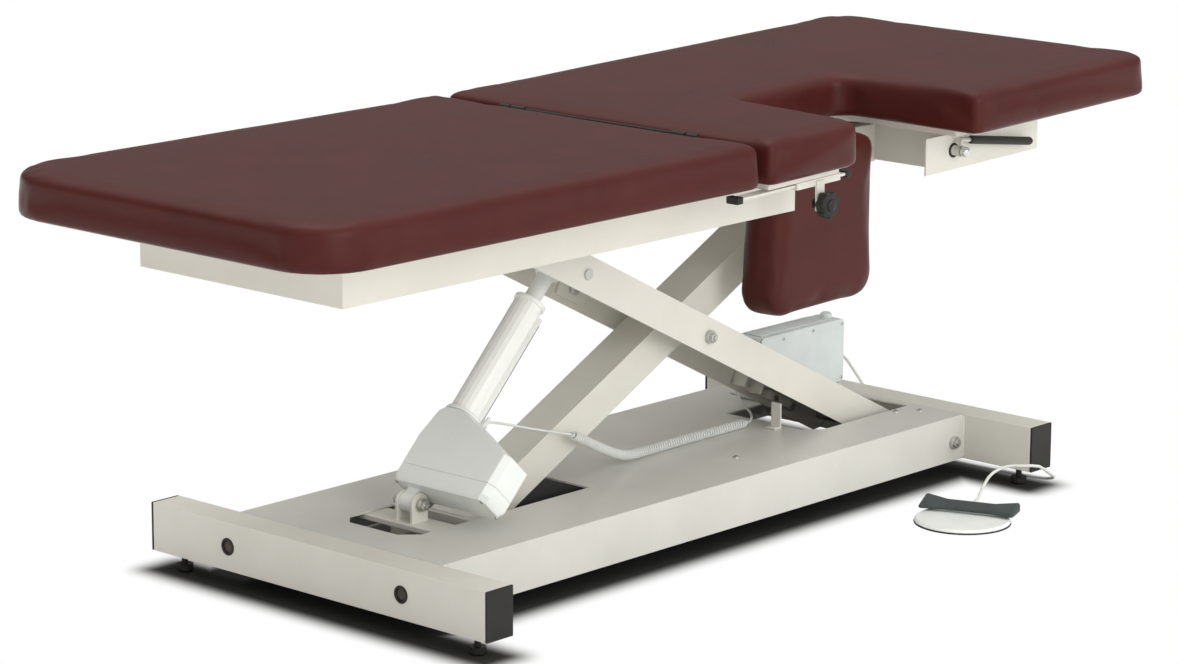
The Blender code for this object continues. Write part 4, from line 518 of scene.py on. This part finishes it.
def bolt_end(name, place, direction, washer, across, height, body, stud=0.0, spin=0.2, coat=None):
    """A washer and a hexagon head, with the end of the thread where it shows."""
    bm = spun([(0.0, 0.0), (washer, 0.0), (washer, 0.0012), (washer - 0.0004, 0.0016), (0.0, 0.0016)], 36)
    head = hex_head(across, height)
    bmesh.ops.rotate(head, cent=(0, 0, 0), matrix=Matrix.Rotation(spin, 3, "Z"), verts=head.verts)
    bmesh.ops.translate(head, vec=(0, 0, 0.0016), verts=head.verts)
    joined = bpy.data.meshes.new("part")
    head.to_mesh(joined)
    head.free()
    bm.from_mesh(joined)
    bpy.data.meshes.remove(joined)
    if stud:
        end = bmesh.ops.create_cone(bm, cap_ends=True, segments=20, radius1=across * 0.29,
                                    radius2=across * 0.25,
                                    depth=stud)
        bmesh.ops.translate(bm, vec=(0, 0, height + 0.0016 + stud / 2 - 0.0002), verts=end["verts"])
    return settled(name, bm, coat or ZINC, body, ON_TABLE @ towards(direction, place))


def pan_screw(name, place, direction, radius, body, coat=None, base=ON_TABLE, spin=0.3):
    """A domed screw head with a near-black cross for the painted shade in its recess."""
    rise = radius * 0.55
    bm = spun([(0.0, 0.0), (radius, 0.0), (radius * 0.97, rise * 0.45), (radius * 0.72, rise * 0.86),
               (radius * 0.30, rise), (0.0, rise)], 28)
    # The recess is a near-black cross standing on the dome: painted shade, not a cut
    cross = bmesh.new()
    slab((-radius * 0.52, -radius * 0.11, rise * 0.55), (radius * 0.52, radius * 0.11, rise * 1.012), cross)
    slab((-radius * 0.11, -radius * 0.52, rise * 0.55), (radius * 0.11, radius * 0.52, rise * 1.012), cross)
    bmesh.ops.rotate(cross, cent=(0, 0, 0), matrix=Matrix.Rotation(spin, 3, "Z"), verts=cross.verts)
    settled(name + "_recess_shade", cross, PAINTED_SHADE_BLACK, body, base @ towards(direction, place))
    return settled(name, bm, coat or ZINC, body, base @ towards(direction, place))


# ---------------------------------------------------------------- cords
def smooth_route(points, count):
    """Evenly spaced points on a smooth curve through the route's own points."""
    knots = [Vector(point) for point in points]
    knots = [knots[0] * 2 - knots[1]] + knots + [knots[-1] * 2 - knots[-2]]
    fine = []
    for index in range(1, len(knots) - 2):
        before, start, end, after = knots[index - 1:index + 3]
        for step in range(24):
            t = step / 24
            fine.append(0.5 * ((2 * start) + (end - before) * t
                               + (2 * before - 5 * start + 4 * end - after) * t ** 2
                               + (3 * start - before - 3 * end + after) * t ** 3))
    fine.append(knots[-2])
    lengths = [0.0]
    for first, second in zip(fine, fine[1:]):
        lengths.append(lengths[-1] + (second - first).length)
    result, place = [], 0
    for step in range(count):
        target = lengths[-1] * step / (count - 1)
        while place < len(fine) - 2 and lengths[place + 1] < target:
            place += 1
        span = lengths[place + 1] - lengths[place]
        result.append(fine[place].lerp(fine[place + 1], (target - lengths[place]) / span))
    return result


def laid_cord(name, points, diameter, coat, body, level=3):
    """A cord as one open curve with a round section."""
    curve = bpy.data.curves.new(name, "CURVE")
    curve.dimensions = "3D"
    curve.bevel_depth = diameter / 2
    curve.bevel_resolution = level
    curve.use_fill_caps = True
    line = curve.splines.new("POLY")
    line.points.add(len(points) - 1)
    for spot, point in zip(line.points, points):
        spot.co = (*(point + PLAN), 1.0)
        spot.radius = 1.0
    curve.materials.append(coat)
    made = bpy.data.objects.new(name, curve)
    bpy.context.scene.collection.objects.link(made)
    line.use_smooth = True
    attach(made, body)
    return made


PEDAL_CORD = 0.005
COIL_X, COIL_Y, COIL_LOW, COIL_RADIUS = 1.3735, -0.060, 0.0028, 0.0275
COIL_TURNS, COIL_STEPS, COIL_RISE = 6, 24, 0.0056
FREE_ROUTE = ((1.1231, -0.3447, 0.0045), (1.1320, -0.3392, 0.0050), (1.1520, -0.3440, 0.0080),
              (1.185, -0.332, 0.0220), (1.222, -0.322, 0.0360), (1.255, -0.330, 0.0440),
              (1.272, -0.352, 0.0450), (1.295, -0.3635, 0.0420), (1.322, -0.366, 0.0250),
              (1.3475, -0.356, 0.0120), (1.357, -0.330, 0.0040), (1.353, -0.280, 0.0030),
              (1.3475, -0.200, 0.0028), (1.346, -0.120, 0.0028), (1.346, -0.0653, 0.0028))
RISE_ROUTE = ((1.346, -0.0547, 0.0364), (1.346, -0.0470, 0.0364), (1.3465, -0.018, 0.0450),
              (1.3475, 0.020, 0.0750), (1.354, 0.065, 0.1150), (1.3575, 0.092, 0.1380),
              (1.352, 0.1055, 0.1495), (1.3358, 0.1085, 0.1530))


def pedal_lead():
    """The pedal's free cord: from the control box down to its coil behind the base, then out to the pedal."""
    free = smooth_route(FREE_ROUTE, 40)
    coil = []
    for step in range(1, COIL_TURNS * COIL_STEPS):
        turn = math.pi - math.tau * step / COIL_STEPS
        coil.append(Vector((COIL_X + COIL_RADIUS * math.cos(turn),
                            COIL_Y + COIL_RADIUS * math.sin(turn),
                            COIL_LOW + COIL_RISE * step / COIL_STEPS)))
    rise = smooth_route(RISE_ROUTE, 24)
    points = list(reversed(free + coil + rise))
    lead = laid_cord("pedal_lead", points, PEDAL_CORD, CORD_SKIN, "base")
    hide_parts("pedal_cord", "pedal_cord_coil", "pedal_cord_rise")
    start, after = points[-1], points[-3]
    away = (after - start).normalized()
    relief_piece = spun([(0.0, -0.002), (0.0043, -0.002), (0.0043, 0.002), (0.0040, 0.003), (0.0040, 0.006),
                         (0.0037, 0.007), (0.0037, 0.010), (0.0034, 0.011), (0.0034, 0.014),
                         (0.0031, 0.015), (0.0031, 0.020), (0.0028, 0.021), (0.0, 0.021)], 24)
    boot = settled("pedal_strain_relief", relief_piece, CORD_SKIN, "base", ON_TABLE @ towards(away, start))
    end, before = points[0], points[2]
    away = (before - end).normalized()
    plug = spun([(0.0, -0.0003), (0.0062, -0.0003), (0.0062, 0.006), (0.0054, 0.007), (0.0050, 0.014),
                 (0.0038, 0.016), (0.0034, 0.024), (0.0028, 0.025), (0.0, 0.025)], 24)
    gland = settled("box_cord_gland", plug, BLACK, "base",
                    ON_TABLE @ towards(Vector((1, 0, 0)), end + Vector((-0.0005, 0, 0))))


CURL_ROUTE = ((0.505, -0.046, 0.187), (0.545, -0.042, 0.168), (0.585, -0.036, 0.149),
              (0.630, -0.027, 0.130), (0.675, -0.018, 0.1172), (0.740, -0.011, 0.1140),
              (0.860, -0.008, 0.1136), (0.975, -0.008, 0.1138))
LEAD_ROUTE = ((0.3240, -0.030, 0.2260), (0.3268, -0.030, 0.2288), (0.3320, -0.031, 0.2335),
              (0.3450, -0.036, 0.2330), (0.372, -0.045, 0.226), (0.415, -0.050, 0.213),
              (0.470, -0.048, 0.197))
TAIL_ROUTE = ((0.982, -0.008, 0.1140), (1.000, 0.004, 0.1165), (1.030, 0.034, 0.1150),
              (1.056, 0.072, 0.1180), (1.070, 0.094, 0.1380), (1.072, 0.100, 0.1700),
              (1.080, 0.098, 0.1920), (1.0962, 0.0965, 0.1958))
CURLS, CURL_STEPS, CURL_RADIUS, CURL_WIRE = 84, 12, 0.0064, 0.0038


def curly_lead():
    """The control cord: straight from the motor, then close curls down to and along the deck."""
    route = smooth_route(CURL_ROUTE, CURLS * CURL_STEPS + 1)
    points = smooth_route(LEAD_ROUTE, 26)
    last = len(route) - 1
    fade = CURL_STEPS * 2
    for index, centre in enumerate(route):
        ahead = (route[min(index + 1, last)] - route[max(index - 1, 0)]).normalized()
        side = ahead.cross(Vector((0, 0, 1))).normalized()
        up = side.cross(ahead)
        turn = math.tau * index / CURL_STEPS
        size = CURL_RADIUS * min(1, index / fade, (last - index) / fade)
        points.append(centre + (side * math.cos(turn) + up * math.sin(turn)) * size)
    points += smooth_route(TAIL_ROUTE, 40)
    lead = laid_cord("curly_lead", points, CURL_WIRE, CORD_SKIN, "base", 2)
    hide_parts("curly_cord")


# ---------------------------------------------------------------- upholstery
def offset_corner(before, corner, after, inset):
    """Where the two edges of a corner meet when both move inwards."""
    first = (Vector(corner) - Vector(before)).normalized()
    second = (Vector(after) - Vector(corner)).normalized()
    cross = first.x * second.y - first.y * second.x
    slide = inset * (1 - first.dot(second)) / cross if abs(cross) > 0 else 0
    return Vector(corner) + Vector((-first.y, first.x)) * inset + first * -slide


def rounded(corners, inset, steps):
    """Points of a rounded outline, given as (x, y, radius), moved inwards by an inset."""
    count = len(corners)
    plain = [corner[:2] for corner in corners]
    moved = [offset_corner(plain[i - 1], plain[i], plain[(i + 1) % count], inset) for i in range(count)]
    points = []
    for index in range(count):
        corner = moved[index]
        first = (corner - moved[index - 1]).normalized()
        second = (moved[(index + 1) % count] - corner).normalized()
        cross = first.x * second.y - first.y * second.x
        turn = math.atan2(cross, first.dot(second))
        side = math.copysign(1, turn)
        radius = max(corners[index][2] - inset * side, 0.003)
        start = corner - first * radius * math.tan(abs(turn) / 2)
        centre = start + Vector((-first.y, first.x)) * radius * side
        for step in range(steps + 1):
            points.append(centre + Matrix.Rotation(turn * step / steps, 2) @ (start - centre))
    return points


FOOT_PLAN = [(-0.3057, -0.343, 0.095), (0.6086, -0.343, 0.014), (0.6086, 0.343, 0.014),
             (-0.3057, 0.343, 0.095)]
HEAD_PLAN = [(0.006, -0.343, 0.014), (0.2354, -0.343, 0.038), (0.2604, -0.064, 0.030),
             (0.5204, -0.064, 0.030),
             (0.5154, -0.343, 0.020), (1.0107, -0.343, 0.050), (1.0107, 0.343, 0.050),
             (0.006, 0.343, 0.014)]
WINDOW_PLAN = [(0.2394, -0.277, 0.045), (0.5114, -0.277, 0.045), (0.5164, -0.002, 0.026),
               (0.2644, -0.002, 0.026)]


def pad_start(outline, bottom):
    """The foam block before it fills its cover: an extruded outline with rounded edges."""
    bm = bmesh.new()
    ring = [bm.verts.new((p.x, p.y, bottom)) for p in rounded(outline, 0.0035, 8)]
    base = bm.faces.new(ring)
    lifted = bmesh.ops.extrude_face_region(bm, geom=[base])
    top = [item for item in lifted["geom"] if isinstance(item, bmesh.types.BMVert)]
    bmesh.ops.translate(bm, vec=(0, 0, PAD_THICK - 0.0045), verts=top)
    bmesh.ops.recalc_face_normals(bm, faces=bm.faces)
    high = {v for v in top}
    round_edges(bm, 0.0105, 4, edges=[e for e in bm.edges if all(v in high for v in e.verts)])
    low = [e for e in bm.edges if all(abs(v.co.z - bottom) < 1e-6 for v in e.verts)]
    round_edges(bm, 0.007, 3, edges=low)
    return bm


def filled_pad(name, outline, bottom, place, body, node, fill):
    """An upholstered pad: its cover is filled by simulation over a flat board, then its corners drawn in."""
    bm = pad_start(outline, bottom)
    mesh = bpy.data.meshes.new(name)
    bm.to_mesh(mesh)
    bm.free()
    shell = bpy.data.objects.new(name + "_shell", mesh)
    bpy.context.scene.collection.objects.link(shell)
    remesh = shell.modifiers.new("cover", "REMESH")
    remesh.mode = "VOXEL"
    remesh.voxel_size = 0.0058
    graph = bpy.context.evaluated_depsgraph_get()
    cover = bpy.data.meshes.new_from_object(shell.evaluated_get(graph))
    bpy.data.objects.remove(shell)
    pad = bpy.data.objects.new(name, cover)
    bpy.context.scene.collection.objects.link(pad)
    top = bottom + PAD_THICK
    start = [v.co.copy() for v in cover.vertices]
    held = pad.vertex_groups.new(name="stapled")
    held.add([i for i, p in enumerate(start) if p.z < bottom + 0.006], 1.0, "REPLACE")
    cloth = pad.modifiers.new("filling", "CLOTH")
    cloth.settings.use_pressure = True
    cloth.settings.uniform_pressure_force = 4.0
    cloth.settings.mass = 0.3
    cloth.settings.tension_stiffness = 25.0
    cloth.settings.compression_stiffness = 25.0
    cloth.settings.bending_stiffness = 8.0
    cloth.settings.quality = 4
    cloth.settings.vertex_group_mass = "stapled"
    cloth.settings.effector_weights.gravity = 0.0
    scene = bpy.context.scene
    for step in range(1, 19):
        scene.frame_set(step)
    graph = bpy.context.evaluated_depsgraph_get()
    blown = bpy.data.meshes.new_from_object(pad.evaluated_get(graph))
    for vert, new, old in zip(cover.vertices, blown.vertices, start):
        move = new.co - old
        limit = 0.0036
        vert.co = old + (move if move.length < limit else move.normalized() * limit)
    bpy.data.meshes.remove(blown)
    pad.modifiers.remove(cloth)
    scene.frame_set(1)
    bm = bmesh.new()
    bm.from_mesh(cover)
    for _ in range(4):
        bmesh.ops.smooth_vert(bm, verts=bm.verts, factor=0.5, use_axis_x=True, use_axis_y=True,
                              use_axis_z=True)
    corners = [Vector(corner[:2]) for corner in outline]
    for vert in bm.verts:
        co = vert.co
        near = min((Vector(co[:2]) - corner).length for corner in corners)
        pull = math.exp(-(near / 0.10) ** 2)
        share = (co.z - bottom) / PAD_THICK
        side_band = max(0.0, 1.0 - abs(share - 0.45) * 2.2)
        ripple = noise.noise(Vector((co.x * 26, co.y * 26,
                                     co.z * 7 + fill * 9))) * 0.0007 * pull * side_band
        broad = noise.noise(Vector((co.x * 5.2, co.y * 5.2, fill * 31))) * 0.0009 * max(0.0, share)
        vert.co += vert.normal * (ripple + broad)
        vert.co.z = max(bottom, min(vert.co.z, top + 0.0015))
    made = settled(name, bm, VINYL, body, place, 80.0)
    bpy.data.objects.remove(pad)
    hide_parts(node)
    return made


def build_pads():
    filled_pad("foot_pad", FOOT_PLAN, PAD_LOW, ON_TABLE, "upper_frame", "foot_cushion", 0.80)
    filled_pad("head_pad", HEAD_PLAN, PAD_LOW - SEAM.z, ON_BACK, "backrest", "head_cushion", 0.82)
    filled_pad("window_pad", WINDOW_PLAN, PAD_LOW - SEAM.z - WINDOW_HINGE.z, ON_WINDOW, "window_panel",
               "window_cushion", 0.84)


# ---------------------------------------------------------------- hardware
# Half widths of the base and of the outer arm where a pivot's washer sits, and that washer's seat
BASE_HALF, ARM_HALF = 0.212, 0.077
WASHER_SEAT = 0.0003 + 0.005
PIVOT_NUT = (0.0105, 0.014, 0.0045)
CLEVIS_HALF = 0.0248
ARM_PLATE = 0.0727
HOLE_HEIGHT, HOLE_SIDE = 0.0678, 0.182
LEVEL_NUT_HEIGHT = 0.0242


def build_fasteners():
    """Bolt ends, nuts, washers and screws that show on the base and the arms."""
    near, far = Vector((0, -1, 0)), Vector((0, 1, 0))
    seat = BASE_HALF + WASHER_SEAT
    bolt_end("low_pivot_near_nut", (LOW_PIN.x, -seat, LOW_PIN.z), near, *PIVOT_NUT, "base",
             0.0025)
    bolt_end("low_pivot_far_nut", (LOW_PIN.x, seat, LOW_PIN.z), far, *PIVOT_NUT, "base", 0.0025)
    seat = ARM_HALF + WASHER_SEAT
    bolt_end("centre_pivot_near_nut", (CENTRE_PIN.x, -seat, CENTRE_PIN.z), near, *PIVOT_NUT,
             "outer_arm_body", 0.002, 0.5)
    bolt_end("centre_pivot_far_nut", (CENTRE_PIN.x, seat, CENTRE_PIN.z), far, *PIVOT_NUT,
             "outer_arm_body", 0.002, 0.1)
    for word, x, y in (("a", 1.224, -0.120), ("b", 1.257, -0.145), ("c", 1.262, -0.020),
                       ("d", 0.812, -0.122)):
        pan_screw(f"deck_screw_{word}", (x, y, DECK_TOP), (0, 0, 1), 0.0052, "base", coat=ZINC)


def block_piece(name, low, high, width, coat, body, place=ON_TABLE, segments=2):
    """A block with every edge rounded."""
    bm = slab(low, high)
    round_edges(bm, width, segments)
    return settled(name, bm, coat, body, place)


def spun_piece(name, profile, place, direction, coat, body, base=ON_TABLE, steps=32):
    """A turned piece that stands on a point along a direction."""
    return settled(name, spun(profile, steps), coat, body, base @ towards(direction, place))


def build_motor_details():
    """The tube's rail and gland, the housing's screws, the clevis bolt and the lead's boot."""
    turn = Matrix.Rotation(math.radians(33.0), 4, "X")
    rail = slab((0.158, -0.0305, -0.0055), (0.352, -0.0215, 0.0055))
    slab((0.166, -0.0310, -0.0012), (0.344, -0.0296, 0.0012), rail)
    round_edges(rail, 0.0008, 2)
    settled("tube_rail", rail, TUBE_WHITE, "actuator_body", ON_MOTOR @ turn)
    # A thin black strip on the rail's face: painted shade of its groove
    groove = slab((0.168, -0.0314, -0.0009), (0.342, -0.0309, 0.0009))
    settled("tube_rail_groove_shade", groove, BLACK, "actuator_body", ON_MOTOR @ turn)
    ring = [(0.0212, -0.006), (0.0250, -0.006), (0.0256, -0.0052), (0.0256, 0.0002), (0.0248, 0.0010),
            (0.0212, 0.0010)]
    spun_piece("tube_end_ring", ring + ring[:1], (0.3705, 0, 0), (1, 0, 0), TUBE_WHITE, "actuator_body",
               ON_MOTOR, 48)
    wiper = [(0.0140, 0.0), (0.0205, 0.0), (0.0198, 0.0014), (0.0146, 0.0020), (0.0140, 0.0012)]
    spun_piece("rod_wiper", wiper + wiper[:1], (0.3706, 0, 0), (1, 0, 0), BLACK, "actuator_body", ON_MOTOR,
               40)
    foot = [(0.0239, 0.0), (0.0290, 0.0), (0.0284, 0.0030), (0.0262, 0.0058), (0.0239, 0.0064)]
    spun_piece("tube_foot_ring", foot + foot[:1], (0.1562, 0, 0), (1, 0, 0), WHITE, "actuator_body",
               ON_MOTOR, 48)
    for word, y, z in (("a", -0.148, 0.022), ("b", -0.148, -0.022), ("c", 0.027, 0.022),
                       ("d", 0.027, -0.022)):
        pan_screw(f"cover_screw_{word}", (0.0182, y, z), (-1, 0, 0), 0.0034, "actuator_body", base=ON_MOTOR)
    bolt_end("clevis_bolt_near", (CLEVIS.x, -CLEVIS_HALF, CLEVIS.z), (0, -1, 0),
             0.0105, 0.015, 0.0052, "base", 0.002)
    bolt_end("clevis_bolt_far", (CLEVIS.x, CLEVIS_HALF, CLEVIS.z), (0, 1, 0),
             0.0105, 0.015, 0.0052, "base", 0.003)
    boot = [(0.0, -0.0005), (0.0062, -0.0005), (0.0062, 0.0035), (0.0050, 0.0045), (0.0046, 0.0100),
            (0.0034, 0.0110), (0.0030, 0.0170), (0.0022, 0.0178), (0.0, 0.0178)]
    away = Vector(LEAD_ROUTE[2]) - Vector(LEAD_ROUTE[1])
    spun_piece("motor_lead_boot", boot, LEAD_ROUTE[1], away, CORD_SKIN, "actuator_body")


def build_box_details():
    """The control box's cover screws, its cap and top plate, its cord boots and its brackets."""
    for word, x, z in (("a", 1.1723, 0.2065), ("b", 1.2503, 0.2080), ("c", 1.3278, 0.2074),
                       ("d", 1.3278, 0.1140), ("e", 1.1230, 0.1140)):
        pan_screw(f"box_screw_{word}", (x, 0.0799, z), (0, -1, 0), 0.0030, "base")
    cap = [(0.0, 0.0), (0.0105, 0.0), (0.0105, 0.0040), (0.0098, 0.0068), (0.0070, 0.0088), (0.0, 0.0094)]
    spun_piece("box_top_cap", cap, (1.3190, 0.1080, 0.2158), (0, 0, 1), GREY_WHITE, "base")
    block_piece("box_top_plate", (1.1250, 0.0905, 0.2158), (1.2950, 0.1290, 0.2178), 0.0008, GREY_WHITE,
                "base")
    for word, y in (("near", 0.0965), ("far", 0.1195)):
        stub = [(0.0, -0.0003), (0.0070, -0.0003), (0.0074, 0.0010), (0.0074, 0.0060), (0.0060, 0.0075),
                (0.0052, 0.0130), (0.0040, 0.0145), (0.0034, 0.0190), (0.0, 0.0190)]
        spun_piece(f"box_plug_boot_{word}", stub, (1.0968, y, 0.1958), (-1, 0, 0), BLACK, "base")
    for word, x in (("foot", 1.1400), ("head", 1.3100)):
        block_piece(f"box_bracket_{word}", (x - 0.010, 0.1352, 0.1058), (x + 0.010, 0.1376, 0.1500), 0.0005,
                    ZINC, "base")
        block_piece(f"box_bracket_foot_{word}", (x - 0.010, 0.1352, 0.1057), (x + 0.010, 0.1600, 0.1081),
                    0.0005, ZINC, "base")
        pan_screw(f"box_bracket_screw_{word}", (x, 0.1500, 0.1081), (0, 0, 1), 0.0040, "base")


def build_arm_details():
    """What shows inside the outer arm: the rod bracket with its nut, and the brackets at its low end."""
    inner = ARM_PLATE
    flat = ON_TABLE @ Matrix.Translation(LOW_PIN) @ Matrix.Rotation(ARM_ANGLE, 4, "Y")
    block_piece("rod_bracket_plate", (-0.735, inner - 0.004, -0.019), (-0.665, inner, 0.019), 0.0008, CREAM,
                "outer_arm_body", flat)
    nut = hex_head(0.020, 0.0075)
    settled("rod_bracket_nut", nut, ZINC, "outer_arm_body",
            flat @ towards((0, -1, 0), (-0.7015, inner - 0.004, 0.002)))
    spun_piece("rod_bracket_stud",
               [(0.0, 0.0), (0.0055, 0.0), (0.0055, 0.0040), (0.0048, 0.0048), (0.0, 0.0048)],
               (-0.7015, inner - 0.0115, 0.002), (0, -1, 0), ZINC, "outer_arm_body", flat)
    for word, start in (("foot", -0.253), ("head", -0.206)):
        block_piece(f"arm_rib_{word}", (start, inner - 0.030, -0.022), (start + 0.004, inner, 0.022),
                    0.0008, CREAM, "outer_arm_body", flat)
    block_piece("arm_rib_web", (-0.253, inner - 0.004, -0.022), (-0.202, inner, -0.012), 0.0008, CREAM,
                "outer_arm_body", flat)
    block_piece("arm_clip", (-0.165, inner - 0.018, -0.020), (-0.085, inner, -0.004), 0.0030, CREAM,
                "outer_arm_body", flat)
    for word, x in (("a", -0.150), ("b", -0.100)):
        head = hex_head(0.010, 0.004)
        settled(f"arm_clip_bolt_{word}", head, ZINC, "outer_arm_body",
                flat @ towards((0, -1, 0), (x, inner - 0.018, -0.013)))


def build_base_details():
    """Painted shade in the crossbar's holes, levelling nuts and the welds of the base."""
    for word, y in (("near", -HOLE_SIDE), ("far", HOLE_SIDE)):
        # Each hole gets a black ring and a sunk dark disc: painted shade of the bore's wall and of the tube's
        # inside
        ring = [(0.0098, -0.0030), (0.0122, -0.0030), (0.0122, 0.0), (0.0134, 0.0), (0.0134, 0.0008),
                (0.0126, 0.0014), (0.0102, 0.0014), (0.0098, 0.0008)]
        spun_piece(f"hole_rim_shade_{word}", ring + ring[:1], (-0.0001, y, HOLE_HEIGHT), (-1, 0, 0), BLACK, "base",
                   steps=40)
        cup = [(0.0, -0.0030), (0.0099, -0.0030), (0.0099, -0.0018), (0.0078, -0.0006), (0.0, -0.0004)]
        spun_piece(f"hole_inner_shade_{word}", cup, (-0.0001, y, HOLE_HEIGHT), (-1, 0, 0), HOLE_SHADE_BROWN, "base", steps=32)
    for x in (0.027, 1.316):
        for y in (-0.308, 0.308):
            nut = hex_head(0.017, 0.0055)
            settled(f"levelling_nut_{'foot' if x < 1 else 'head'}_{'near' if y < 0 else 'far'}", nut, ZINC,
                    "base", ON_TABLE @ Matrix.Translation((x, y, LEVEL_NUT_HEIGHT)))
    for side, word in ((-1, "near"), (1, "far")):
        for end, x in (("foot", 0.0542), ("head", 1.2888)):
            weld = spun([(0.0, 0.0), (0.0021, 0.0), (0.0021, 0.068), (0.0, 0.068)], 12)
            for vert in weld.verts:
                vert.co.x += noise.noise(vert.co * 160) * 0.0005
                vert.co.y += noise.noise(vert.co * 190) * 0.0005
            settled(f"deck_weld_{end}_{word}", weld, CREAM, "base",
                    ON_TABLE @ Matrix.Translation((x, side * 0.2118, 0.0340)), 60.0)


def build_frame_details():
    """The support bar's caps, the knob's lobes and cap, the lever's washer and nut, the pedal's foot ring in
    near-black painted shade.
    """
    for word, start, end in (("foot", -0.0346, -0.0207), ("head", 0.2235, 0.2354)):
        block_piece(f"bar_cap_{word}", (start, -0.3113, -0.0846), (end, -0.2887, -0.0737), 0.0012, BLACK,
                    "support_bar_body", ON_BACK)
    knob = Vector((0.7727, -0.3375, 0.5463))
    for index in range(7):
        turn = math.tau * index / 7 + 0.3
        lobe = [(0.0, 0.0), (0.0052, 0.0), (0.0060, 0.0012), (0.0060, 0.0130), (0.0048, 0.0150),
                (0.0, 0.0150)]
        spun_piece(f"knob_lobe_{index}", lobe,
                   knob + Vector((0.0160 * math.cos(turn), 0.0155, 0.0160 * math.sin(turn))),
                   (0, -1, 0), BLACK, "lock_knob_body", steps=20)
    cap = [(0.0, 0.0), (0.0098, 0.0), (0.0094, 0.0016), (0.0070, 0.0030), (0.0035, 0.0037), (0.0, 0.0039)]
    spun_piece("knob_cap", cap, knob, (0, -1, 0), BLACK, "lock_knob_body")
    stud = Vector((1.246, 0.0, 0.5545))
    washer = [(0.0052, 0.0), (0.0120, 0.0), (0.0120, 0.0014), (0.0052, 0.0014)]
    spun_piece("lever_washer", washer + washer[:1], stud + Vector((0, -0.2093, 0)), (0, -1, 0), BLACK,
               "upper_frame")
    dome = [(0.0, 0.0), (0.0086, 0.0), (0.0086, 0.0022), (0.0076, 0.0052), (0.0050, 0.0074), (0.0, 0.0084)]
    spun_piece("lever_dome_nut", dome, stud + Vector((0, -0.2322, 0)), (0, -1, 0), CHROME, "upper_frame")
    # A thin foot ring at the base's rim, near-black for the painted contact shade along it
    ring = [(0.0758, 0.0), (0.0776, 0.0), (0.0778, 0.0008), (0.0774, 0.0018), (0.0758, 0.0018)]
    spun_piece("pedal_foot_ring_shade", ring + ring[:1], (PEDAL.x, PEDAL.y, 0.0), (0, 0, 1), PAINTED_SHADE_BLACK, "base",
               steps=96)


set_camera()
set_light()
set_floor()
dress_cad_nodes()
pedal_lead()
curly_lead()
build_pads()
build_fasteners()
build_motor_details()
build_box_details()
build_arm_details()
build_base_details()
build_frame_details()

bpy.context.scene.view_settings.view_transform = "Standard"
